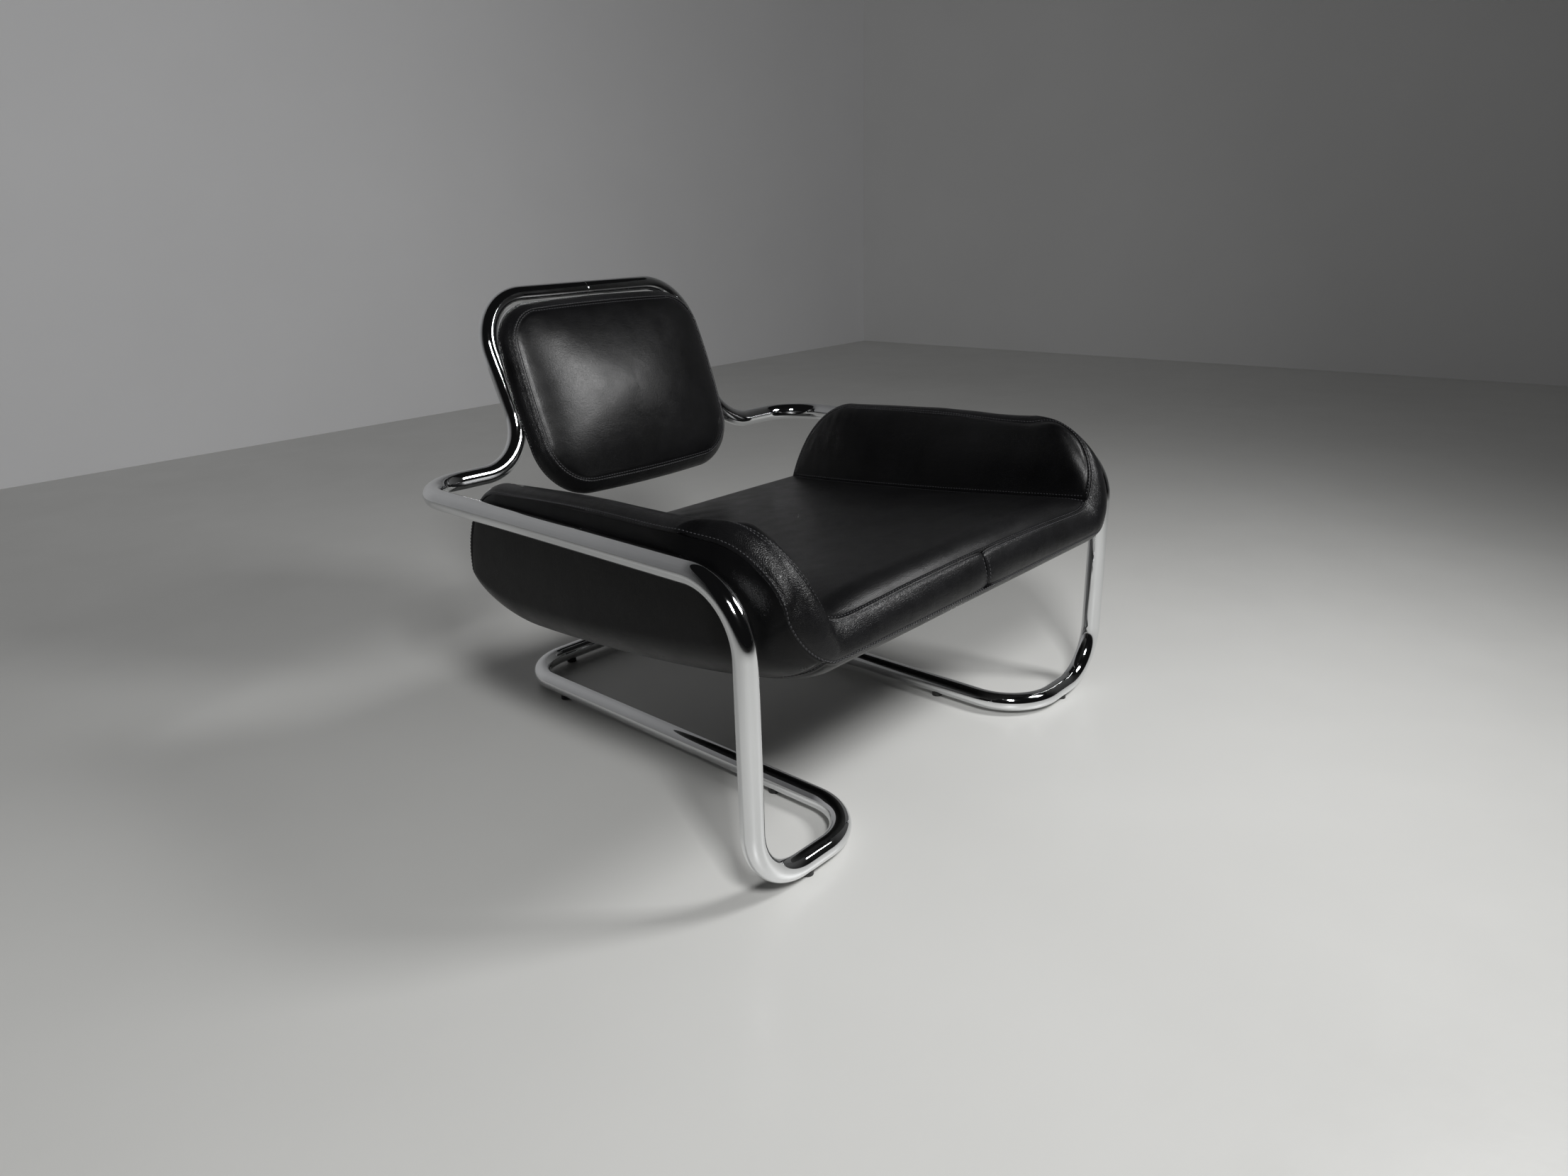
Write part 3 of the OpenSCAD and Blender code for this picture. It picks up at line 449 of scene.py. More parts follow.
def outer(m, t):
    """Outer surface at the same stations: the underside, the round of its corner, and the side."""
    m, t = np.broadcast_arrays(np.asarray(m, float), np.asarray(t, float))
    s, a = np.where(m < 0, -1.0, 1.0), np.abs(m)
    uz = under_z(t)
    pan = np.stack([a * BASE_X, mix(Y_OF, Y_OR, t), uz], -1)
    c = np.clip((a - 1) / CORNER, 0, 1) * math.pi / 2
    sc, cc = np.power(np.maximum(np.sin(c), 0), 1.13), np.power(np.maximum(np.cos(c), 0), 1.13)
    nose = NOSE_IN * np.clip(1 - t / 0.17, 0, None) ** 2
    cor = np.stack([BASE_X + (WING_T - nose) * sc,
                    mix(Y_OF + NOSE_IN * (1 - cc), mix(Y_SR, Y_OR, np.cos(c)), t),
                    uz + CORNER_H - CORNER_H * cc], -1)
    f = (a - 1 - CORNER) / (1 - CORNER) * math.pi / 2
    ahead = (WING_OUT_R - NOSE_IN) * np.power(np.maximum(np.cos(f), 0), 1.39)
    side = np.stack([SEAT_X - nose * np.cos(f),
                     mix(Y_OF + WING_OUT_R - ahead, Y_RC + (Y_SR - Y_RC) * np.cos(f), t),
                     mix(uz + CORNER_H, mix(OUT_FZ, OUT_RZ, t), np.sin(f))], -1)
    p = np.where((a <= 1)[..., None], pan, np.where((a <= 1 + CORNER)[..., None], cor, side))
    p[..., 0] *= s
    return p


def layer(m, t, d):
    """Points at the depth d from the outer surface of the slab towards its inner surface."""
    o, i = outer(m, t), inner(m, t)
    return o + unit(i - o) * d


# Where the shell inside the slab ends: its stations fall short of those of the covers
SHELL_REACH, SHELL_ENDS = 0.77, (0.022, 0.978)


def in_m(m):
    m = np.asarray(m, float)
    return np.where(np.abs(m) <= 1, m, np.sign(m) * (1 + (np.abs(m) - 1) * SHELL_REACH))


def in_t(t):
    return mix(*SHELL_ENDS, t)


def backing(m, t, inside):
    """The hidden face of a panel, just clear of the shell."""
    return layer(in_m(m), in_t(t), FOAM + GAP if inside else COVER_T - GAP)


def spaced(curve, lo, hi, n, edge=None):
    """n places from lo to hi, evenly spaced along a curve and closer together by its ends."""
    q = np.linspace(lo, hi, 2001)
    s = run_length(curve(q))
    want = np.linspace(0, 1, n)
    if edge:
        e = np.array(edge) / s[-1]
        want = np.concatenate([[0], e, np.linspace(e[-1], 1 - e[-1], n)[1:-1], (1 - e)[::-1], [1]])
    return np.interp(want * s[-1], s, q)


EDGE = [0.5, 1.1, 1.8, 2.7, 3.8, 5.2, 7.0, 9.5, 12.5]


def edge_distance(P):
    """Distance along the grid to its four edges, in millimetres."""
    du = np.linalg.norm(np.diff(P, axis=0), axis=2)
    su = np.concatenate([np.zeros((1, P.shape[1])), np.cumsum(du, 0)])
    dv = np.linalg.norm(np.diff(P, axis=1), axis=2)
    sv = np.concatenate([np.zeros((P.shape[0], 1)), np.cumsum(dv, 1)], 1)
    return su, su[-1] - su, sv, sv[:, -1:] - sv


def value_noise(p, scale, seed):
    """Smooth noise at the points p, the seed being an offset into it."""
    flat = (p * scale + seed).reshape(-1, 3)
    return np.array([noise.noise(Vector(v)) for v in flat.tolist()]).reshape(p.shape[:-1])


def grid_normal(P):
    du, dv = np.gradient(P, axis=0), np.gradient(P, axis=1)
    return unit(np.cross(du, dv))


def roll_in(d):
    """How far a panel lies under its crown at d from its seam: the groove, and the lip behind it."""
    lip = LIP_FALL * np.exp(-np.maximum(d - LIP_FROM, 0) / (ROLL_W * 1.6))
    return SEAM_H * np.exp(-d / (ROLL_W * 0.17)) + lip


def stitch_dip(d):
    """How far the row of stitches draws the leather in."""
    return 0.75 * np.exp(-((d - STITCH_IN) / 1.3) ** 2)


def dome(q):
    return 1 - np.abs(2 * q - 1) ** 3


def settled(P):
    """The points P, with the top of each wing settled a little where it turns down in front."""
    depth, ahead, behind = 11.0, 45.0, 130.0
    away = P[..., 1] - (Y_OF + WING_OUT_R - 14)
    along = np.exp(-(away / np.where(away < 0, ahead, behind)) ** 2)
    Q = P.copy()
    Q[..., 2] -= depth * along * smooth(P[..., 2], TOP_FZ - 95, TOP_FZ - 10)
    return Q


# Padding: a coarse copy of each pad swells as cloth, held at its seams, and its swelling is laid
# on the fine surface before the seams are drawn in.
def swell(P, base, out, cap, slack, soften=14):
    """Displacement of the grid P (mm) when the closed body between it and base is under pressure.

    out points away from base, cap limits the displacement, slack is the share of spare cloth, and
    soften the number of times the result is smoothed.
    """
    step = -1 if (grid_normal(P) * out).sum() < 0 else 1
    P, base = P[::step], base[::step]
    nu, nv = P.shape[:2]
    n = nu * nv
    verts = np.concatenate([P.reshape(-1, 3), base.reshape(-1, 3)])
    ob = mesh_object("swell_tmp", verts, slab_faces(nu, nv), None)
    pin = ob.vertex_groups.new(name="pin")
    held = list(range(n, 2 * n))
    held += [u * nv + v for u in range(nu) for v in range(nv)
             if u in (0, nu - 1) or v in (0, nv - 1)]
    pin.add(held, 1.0, "REPLACE")
    md = ob.modifiers.new("cloth", "CLOTH")
    st = md.settings
    st.quality = 4
    st.mass = 0.25
    st.air_damping = 2.0
    st.tension_stiffness = 18
    st.compression_stiffness = 18
    st.shear_stiffness = 6
    st.bending_stiffness = 0.4
    st.vertex_group_mass = "pin"
    st.pin_stiffness = 1.0
    st.use_pressure = True
    st.uniform_pressure_force = PRESSURE
    st.shrink_min = -slack
    st.effector_weights.gravity = 0.0
    md.collision_settings.use_collision = False
    md.collision_settings.use_self_collision = False
    md.point_cache.frame_start = 1
    md.point_cache.frame_end = CLOTH_FRAMES
    for f in range(1, CLOTH_FRAMES + 1):
        scene.frame_set(f)
    deps = bpy.context.evaluated_depsgraph_get()
    me = ob.evaluated_get(deps).to_mesh()
    co = np.zeros(len(me.vertices) * 3)
    me.vertices.foreach_get("co", co)
    D = co.reshape(-1, 3)[:n] / MM - verts[:n]
    ob.evaluated_get(deps).to_mesh_clear()
    bpy.data.objects.remove(ob)
    scene.frame_set(1)
    D = D.reshape(nu, nv, 3)
    # The leather is thick, so the finest wrinkles of the cloth are smoothed out of it
    for _ in range(soften):
        D[1:-1, 1:-1] = (D[1:-1, 1:-1] * 2 + D[2:, 1:-1] + D[:-2, 1:-1]
                         + D[1:-1, 2:] + D[1:-1, :-2]) / 6
    size = np.linalg.norm(D, axis=-1, keepdims=True)
    print("swell", P.shape, "largest", round(float(size.max()), 2), "mm")
    return (D * np.minimum(1.0, cap / np.maximum(size, 1e-6)))[::step]


def resample(D, u0, v0, u1, v1):
    """D on the grid u0 x v0, smoothly carried to the grid u1 x v1."""
    def along(A, x0, x1):
        slope = np.gradient(A, x0, axis=0)
        i = np.clip(np.searchsorted(x0, x1, side="right") - 1, 0, len(x0) - 2)
        h = (x0[i + 1] - x0[i])
        k = ((x1 - x0[i]) / h).reshape(-1, *([1] * (A.ndim - 1)))
        h = h.reshape(-1, *([1] * (A.ndim - 1)))
        k2, k3 = k * k, k * k * k
        return ((2 * k3 - 3 * k2 + 1) * A[i] + (k3 - 2 * k2 + k) * h * slope[i]
                + (3 * k2 - 2 * k3) * A[i + 1] + (k3 - k2) * h * slope[i + 1])
    B = along(D, u0, u1)
    return np.moveaxis(along(np.moveaxis(B, 1, 0), v0, v1), 0, 1)


stitches = {}


def add_stitches(key, line, normal):
    """Short thread stitches along a line of points on a surface, half sunk into it."""
    s = run_length(line)
    count = int(s[-1] // STITCH_PITCH)
    if count < 1:
        return
    at = (np.arange(count) + 0.5) * s[-1] / count
    P = np.stack([np.interp(at, s, line[:, k]) for k in range(3)], -1)
    Q = np.stack([np.interp(np.minimum(at + 0.5, s[-1]), s, line[:, k]) for k in range(3)], -1)
    N = unit(np.stack([np.interp(at, s, normal[:, k]) for k in range(3)], -1))
    T = unit(Q - P)
    B = unit(np.cross(N, T))
    verts, faces = stitches.setdefault(key, ([], []))
    # Places along a stitch, and its thickness there
    prof = [(-0.5, 0.35), (-0.36, 0.85), (0.0, 1.0), (0.36, 0.85), (0.5, 0.35)]
    for p, t, n, b in zip(P, T, N, B):
        off = len(verts)
        for q, w in prof:
            lift = 0.25 - 2.6 * q * q
            for k in range(6):
                a = k * math.pi / 3
                verts.append(p + t * q * STITCH_L + n * (lift * 0.6 + STITCH_R * w * math.sin(a))
                             + b * STITCH_R * w * math.cos(a))
        for i in range(len(prof) - 1):
            for k in range(6):
                k2 = (k + 1) % 6
                a, b2 = off + i * 6, off + (i + 1) * 6
                faces.append((a + k, a + k2, b2 + k2, b2 + k))
        faces.append(tuple(off + k for k in range(6))[::-1])
        faces.append(tuple(off + (len(prof) - 1) * 6 + k for k in range(6)))


def row_at(P, N, edge, d):
    """The line at distance d inside an edge of a grid, with its normals."""
    if edge in ("u1", "v1"):
        P, N = (P[::-1], N[::-1]) if edge == "u1" else (P[:, ::-1], N[:, ::-1])
    if edge in ("v0", "v1"):
        P, N = np.swapaxes(P, 0, 1), np.swapaxes(N, 0, 1)
    seg = np.linalg.norm(np.diff(P, axis=0), axis=2)
    s = np.concatenate([np.zeros((1, P.shape[1])), np.cumsum(seg, 0)])
    line, nrm = [], []
    for j in range(P.shape[1]):
        line.append([np.interp(d, s[:, j], P[:, j, k]) for k in range(3)])
        nrm.append([np.interp(d, s[:, j], N[:, j, k]) for k in range(3)])
    return np.array(line), unit(np.array(nrm))


def stitch_edges(key, top, N, edges=("u0", "u1", "v0", "v1")):
    """Stitches along the edges of a grid, clear of its corners."""
    for e in edges:
        line, nrm = row_at(top, N, e, STITCH_IN)
        s = run_length(line)
        keep = (s > STITCH_TRIM) & (s < s[-1] - STITCH_TRIM)
        add_stitches(key, line[keep], nrm[keep])


def pucker(P, d, seed):
    """Small gathers of the leather beside a seam."""
    return 0.22 * value_noise(P, 0.075, seed) * np.exp(-d / 16.0) * (1 - np.exp(-d / 2.5))


def solid_from(name, top, low, mat, flip):
    verts = np.concatenate([top.reshape(-1, 3), low.reshape(-1, 3)])
    return mesh_object(name, verts, slab_faces(*top.shape[:2], flip), mat)


def finish_piece(ob, stands_for):
    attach(ob, "root")
    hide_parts(stands_for)


def make_panel(name, stands_for, lo, hi, inside, crown, nu, nv, mat, seed, extra, sim=None):
    """A padded panel of the slab between the stations lo and hi, inside or outside.

    extra gives its folds, and sim the pitch, cap and slack of the cloth that swells it.
    """
    face, back = (inner, outer) if inside else (outer, inner)

    def across(x):
        return face(x, np.full_like(x, 0.5))

    def along(x):
        return face(np.full_like(x, (lo + hi) / 2), x)

    us, vs = spaced(across, lo, hi, nu, EDGE), spaced(along, 0.0, 1.0, nv, EDGE)
    M, T = np.meshgrid(us, vs, indexing="ij")
    P, low = face(M, T), backing(M, T, inside)
    up = unit(P - back(M, T))
    edges = edge_distance(P)
    d = np.minimum(np.minimum(edges[0], edges[1]), np.minimum(edges[2], edges[3]))
    h = crown * dome((M - lo) / (hi - lo)) * dome(T)
    top = P + up * h[..., None]
    if sim:
        pitch, cap, slack = sim
        cu = max(8, int(round(float(edges[0][-1].mean()) / pitch)))
        cv = max(8, int(round(float(edges[2][:, -1].mean()) / pitch)))
        cus, cvs = spaced(across, lo, hi, cu), spaced(along, 0.0, 1.0, cv)
        CM, CT = np.meshgrid(cus, cvs, indexing="ij")
        CP = face(CM, CT)
        cup = unit(CP - back(CM, CT))
        first = CROWN_START * crown * dome((CM - lo) / (hi - lo)) * dome(CT)
        D = swell(CP + cup * first[..., None], backing(CM, CT, inside), cup, cap, slack)
        rise = float(np.percentile((D * cup).sum(-1), 97))
        D = D * min(CROWN_SWELL * crown / max(rise, 1e-3), 1.0)
        top = P + up * (CROWN_START * h)[..., None] + resample(D, cus, cvs, us, vs)
    top = top + up * extra(M, T, P, d)[..., None]
    gathers = sum(pucker(P, x, seed + 7 * i) for i, x in enumerate(edges))
    top = top + up * (gathers - roll_in(d) - stitch_dip(d))[..., None]
    drawn = P + unit(low - P) * (SEAM_H + LIP_FALL)
    edge = d < 1e-6
    top[edge] = drawn[edge]
    top = settled(top)
    N = grid_normal(top)
    flip = (N * up).sum() < 0
    finish_piece(solid_from(name, top, low, mat, not flip), stands_for)
    return top, (-N if flip else N)


def seat_folds(M, T, P, d):
    """Shallow folds of the seat leather, mostly in its middle and rear, and its rounded front."""
    n = value_noise(P * np.array([1.0, 0.6, 1.0]), 0.009, 3.0)
    fine = value_noise(P * np.array([0.7, 1.5, 1.0]), 0.028, 9.0)
    w = smooth(d, 10, 80)
    rear = np.exp(-((T - 0.86) / 0.12) ** 2) * np.exp(-((M + 0.35) / 0.35) ** 2)
    drapes = np.sin((P[..., 0] * 0.5 + P[..., 1]) * 0.11 + 2.0 * n) * rear
    reach, radius = 34.0, 36.0
    x = np.clip(T * SEAT_D, 4.0, reach)
    arc = PAN_CROWN + 5.0 - (radius - np.sqrt(radius ** 2 - (reach - x) ** 2))
    front = arc * (1 - np.abs(M) ** 12) - PAN_CROWN * dome(T) * dome((M + 1) / 2)
    front = front * (1 - smooth(T, 0.05, 0.45))
    return w * (1.1 * n + 0.35 * fine * smooth(T, 0.25, 0.7) + 0.9 * drapes) + front


def wing_folds(M, T, P, d):
    """Soft unevenness of a wing, gathers by its rear end, and its plump front end."""
    n = value_noise(P, 0.016, 21.0)
    rear = smooth(T, 0.72, 0.98)
    gather = value_noise(P * np.array([1.0, 2.6, 0.5]), 0.035, 31.0)
    reach, radius = 30.0, 37.0
    x = np.clip(T * SEAT_D * 0.72, 4.0, reach)
    plump = 12.0 - (radius - np.sqrt(radius ** 2 - (reach - x) ** 2))
    plump = plump * (1 - smooth(T, 0.1, 0.6)) * (1 - np.abs(2 * np.abs(M) - 3) ** 4)
    return smooth(d, 4, 40) * 0.6 * n + rear * 0.9 * gather * smooth(d, 2, 14) + plump


def plain_folds(amount, scale, seed):
    return lambda M, T, P, d: smooth(d, 8, 60) * amount * value_noise(P, scale, seed)


stitch_edges("seat", *make_panel(
    "seat_cushion", "seat_panel", -1 + GAP_M, 1 - GAP_M, inside=True, crown=PAN_CROWN, nu=150,
    nv=140, mat=PAN_LEATHER, seed=1.0, extra=seat_folds, sim=(7.5, 16.0, 0.004)))
for side, sg in (("left", 1), ("right", -1)):
    lo, hi = (1 + GAP_M, 2.0) if sg > 0 else (-2.0, -1 - GAP_M)
    stitch_edges("wing_" + side, *make_panel(
        "wing_cushion_" + side, "wing_panel_" + side, lo, hi, inside=True, crown=WING_CROWN, nu=60,
        nv=150, mat=WING_LEATHER, seed=40.0 * sg, extra=wing_folds, sim=(7.0, 12.0, 0.006)))
    lo, hi = (1 + SIDE_SEAM + GAP_M, 2.0) if sg > 0 else (-2.0, -1 - SIDE_SEAM - GAP_M)
    stitch_edges("side_" + side, *make_panel(
        "side_cover_" + side, "side_panel_" + side, lo, hi, inside=False, crown=0.0, nu=70, nv=150,
        mat=SIDE_LEATHER_PAINTED_SHADE, seed=60.0 * sg, extra=plain_folds(0.5, 0.014, 5.0)))
stitch_edges("bottom", *make_panel(
    "bottom_cover", "seat_bottom_cover", -1 - SIDE_SEAM + GAP_M, 1 + SIDE_SEAM - GAP_M,
    inside=False, crown=0.0, nu=110, nv=100, mat=SIDE_LEATHER_PAINTED_SHADE, seed=80.0,
    extra=plain_folds(0.7, 0.010, 15.0)))


# Edge band, swept up and over a wing from the middle of the front to the middle of the rear
def band_stations(sg):
    """Stations m and t of the slab's border, on the left for sg 1 and on the right for -1."""
    g = GAP_M
    front = spaced(lambda q: inner(q, np.zeros_like(q)), g, 1.0, 110)
    rise = spaced(lambda q: inner(q, np.zeros_like(q)), 1.0, 2.0, 62)
    along = spaced(lambda q: inner(np.full_like(q, 2.0), q), 0.0, 1.0, 100)
    fall = spaced(lambda q: inner(q, np.ones_like(q)), 1.0, 2.0, 50)[::-1]
    rear = spaced(lambda q: inner(q, np.ones_like(q)), g, 1.0, 90)[::-1]
    m = np.concatenate([front, rise[1:], np.full(len(along) - 1, 2.0), fall[1:], rear[1:]])
    t = np.concatenate([np.zeros(len(front) + len(rise) - 1), along[1:],
                        np.ones(len(fall) + len(rear) - 2)])
    return m * sg, t


def make_band(name, sg, stands_for):
    """The edge band of one side, swept along the slab's border.

    out points away from the slab, K is the share of the width, and d the distance to a seam.
    """
    m, t = band_stations(sg)
    am = np.abs(m)
    f = np.clip(am - 1, 0, 1) * math.pi / 2
    # The border faces forward at -1, to the rear at 1 and up at 0
    way = np.where(t < 1e-9, -1.0, np.where(t > 1 - 1e-9, 1.0, 0.0))
    up = np.where(way == 0, 1.0, np.sin(f))
    out = unit(np.stack([np.zeros_like(m), way * np.cos(f), up], -1))
    a, b = inner(m, t) + out * GAP, outer(m, t) + out * GAP
    ai = layer(in_m(m), in_t(t), FOAM) + out * GAP
    bi = layer(in_m(m), in_t(t), COVER_T) + out * GAP
    w = np.linalg.norm(b - a, axis=-1)
    edge = np.array([0.0] + EDGE[:-2])
    inner_k = np.linspace(0, 1, 17)[1:-1]
    E = edge / w[:, None]
    K = np.concatenate([E, E[:, -1:] + (1 - 2 * E[:, -1:]) * inner_k, (1 - E)[:, ::-1]], 1)
    d = np.minimum(K, 1 - K) * w[:, None]
    full = np.where((am > 1) & (t < 1e-9), 1 - 0.35 * np.sin(math.pi * np.clip(am - 1, 0, 1)), 1.0)
    full = full * (1 - 0.45 * (1 - smooth(am, 0.9, 1.3)) * (t < 0.5))
    P = a[:, None] + (b - a)[:, None] * K[..., None]
    s = run_length(0.5 * (a + b))
    in_dir = unit(unit(ai - a)[:, None] * (1 - K[..., None]) + unit(bi - b)[:, None] * K[..., None])
    at_end = np.minimum(s, s[-1] - s)[:, None]
    # Fine ripples where the band turns up at its front corner
    bend = np.exp(-((am - 1.06) / 0.2) ** 2) * (t < 0.5)
    ripple = np.sin(s * 2 * math.pi / 5.6 + 1.6 * np.sin(s / 13.0))
    top = P + out[:, None] * bulge(K, (w * full)[:, None])[..., None]
    n = value_noise(top, 0.07, 5.0 * sg)
    slow = value_noise(top, 0.022, 11.0 * sg)
    wr = ((0.24 * ripple * bend)[:, None] * np.exp(-K * w[:, None] / 24)
          + 0.22 * n * np.exp(-d / 14) * (1 - np.exp(-d / 2.5)))
    wr = wr + 0.7 * slow * smooth(d, 3, 20)
    drop = roll_in(d) + stitch_dip(d) + roll_in(at_end)
    top = top + out[:, None] * (wr * (1 - np.exp(-at_end / 3)))[..., None] + in_dir * drop[..., None]
    top = settled(top)
    rings = np.concatenate([top, bi[:, None], ai[:, None]], axis=1)
    nu, nv = rings.shape[:2]
    step = 1 if sg > 0 else -1
    faces = grid_quads(nu, nv, wrap_v=True, flip=sg > 0)
    faces.append(tuple(range(nv))[::step])
    faces.append(tuple((nu - 1) * nv + k for k in range(nv))[::-step])
    ob = mesh_object(name, rings.reshape(-1, 3), faces, BAND_LEATHER_PAINTED_SHEEN)
    finish_piece(ob, stands_for)
    N = grid_normal(top)
    if (N * out[:, None]).sum() < 0:
        N = -N
    stitch_edges(name, top, N, ("v0", "v1", "u0", "u1"))


make_band("edge_roll_left", 1, "edge_band_left")
make_band("edge_roll_right", -1, "edge_band_right")

# Back pad
PAD_HW = BACK_TOP_W / 2 - PAD_SIDE_IN
PAD_S0, PAD_S1 = -PAD_DROP, BACK_L - PAD_TOP_GAP
PAD_T0 = R + 2 * GAP
BOARD_T1 = PAD_T0 + LEATHER_T + GAP + BOARD_T
SEAM_T = PAD_T0 + PAD_BAND_D
WALL_IN = PAD_TAPER * 0.75
BAND_TOP_IN = PAD_TAPER + SEAM_H
PAD_MID = np.array([0.0, (PAD_S0 + PAD_S1) / 2])


def outline(d, n=64):
    """Closed outline of the pad drawn in by d, of 4 n points."""
    hw, s0, s1 = PAD_HW - d, PAD_S0 + d, PAD_S1 - d
    rt, rb, bow = max(PAD_TOP_R - d, 6), max(PAD_FOOT_R - d, 6), (PAD_HW - d) * 0.012
    pts = []

    def arc(cx, cs, r, a0):
        for k in range(25):
            a = (a0 + 90 * k / 24) * DEG
            pts.append((cx + r * math.cos(a), cs + r * math.sin(a)))

    def line(a, b, out):
        for q in np.linspace(0, 1, 26)[1:-1]:
            w = bow * (1 - (2 * q - 1) ** 2)
            pts.append((mix(a[0], b[0], q) + out[0] * w, mix(a[1], b[1], q) + out[1] * w))

    arc(hw - rb, s0 + rb, rb, -90)
    line(pts[-1], (hw, s1 - rt), (1, 0))
    arc(hw - rt, s1 - rt, rt, 0)
    line(pts[-1], (-hw + rt, s1), (0, 1))
    arc(-hw + rt, s1 - rt, rt, 90)
    line(pts[-1], (-hw, s0 + rb), (-1, 0))
    arc(-hw + rb, s0 + rb, rb, 180)
    line(pts[-1], (hw - rb, s0), (0, -1))
    pts = np.array(pts)
    pts = np.vstack([pts, pts[:1]])
    s = run_length(pts)
    at = np.linspace(0, s[-1], 4 * n + 1)[:-1]
    return np.stack([np.interp(at, s, pts[:, 0]), np.interp(at, s, pts[:, 1])], -1)


def at_angle(curve, ang):
    """Points of a closed curve round the pad's middle at given directions."""
    rel = curve - PAD_MID
    a = np.unwrap(np.arctan2(rel[:, 1], rel[:, 0]))
    r = np.linalg.norm(rel, axis=1)
    if a[-1] < a[0]:
        a, r = a[::-1], r[::-1]
    rad = np.interp(ang, np.concatenate([a - 2 * math.pi, a, a + 2 * math.pi]), np.tile(r, 3))
    return PAD_MID + np.stack([rad * np.cos(ang), rad * np.sin(ang)], -1)


def pad_grid(n, edge_in, dense=True):
    """Square grid over the pad's outline.

    Gives its places, how far out each lies, from 0 to 1, and the outline's radius in its direction.
    """
    u = np.linspace(-1, 1, n)
    if dense:
        # Rows close to the seam, in millimetres on a pad about 165 from its middle to its edge
        e = np.array([0.3, 0.7, 1.2, 1.9, 2.8, 3.9, 5.2, 7.0, 9.4]) / 165
        u = np.concatenate([[-1], -1 + e, np.linspace(-1 + e[-1], 1 - e[-1], n)[1:-1],
                            (1 - e)[::-1], [1]])
    U, V = np.meshgrid(u, u, indexing="ij")
    rho = np.maximum(np.abs(U), np.abs(V))
    # Square directions spread evenly over angles
    sx = np.where(rho > 0, U / np.maximum(rho, 1e-9), 1.0)
    sy = np.where(rho > 0, V / np.maximum(rho, 1e-9), 0.0)
    ang = np.where(np.abs(sx) >= np.abs(sy),
                   np.where(sx > 0, 0.0, math.pi) + np.where(sx > 0, 1, -1) * sy * math.pi / 4,
                   np.where(sy > 0, math.pi / 2, -math.pi / 2)
                   - np.where(sy > 0, 1, -1) * sx * math.pi / 4)
    B = at_angle(outline(edge_in), ang)
    XY = PAD_MID + (B - PAD_MID) * rho[..., None]
    return XY, rho, np.linalg.norm(B - PAD_MID, axis=-1)


def to_back(XY, t):
    """Places across and up the pad carried to points at t ahead of the uprights."""
    return back_pt(XY[..., 0], XY[..., 1], t)


PAD_OUT = np.array([0.0, -math.cos(LEAN), math.sin(LEAN)])


def pad_crown(XY, d):
    """Rise of the pad above its seam: its crown, and the extra fullness of its middle."""
    x = (XY[..., 0] - PAD_APEX_X) / PAD_HW
    y = (XY[..., 1] - PAD_MID[1]) / (PAD_S1 - PAD_MID[1])
    x = x / np.where(x < 0, 1 + PAD_APEX_X / PAD_HW, 1 - PAD_APEX_X / PAD_HW)
    middle = np.exp(-1.1 * (x ** 2 + y ** 2))
    return (PAD_CROWN * (0.4 + 0.6 * middle) * (1 - np.exp(-d / 26.0)),
            PAD_FULL * middle * (1 - np.exp(-d / 30.0)))


def spread(XY0, D, XY1, reach):
    """D, given at the points XY0, averaged over a round patch about each of the points XY1."""
    X0, D0 = XY0.reshape(-1, 2), D.reshape(-1, 3)
    out = np.zeros(XY1.shape[:2] + (3,))
    for i, row in enumerate(XY1):
        W = np.exp(-((row[:, None] - X0[None]) ** 2).sum(-1) / (2 * reach ** 2))
        out[i] = W @ D0 / W.sum(1)[:, None]
    return out


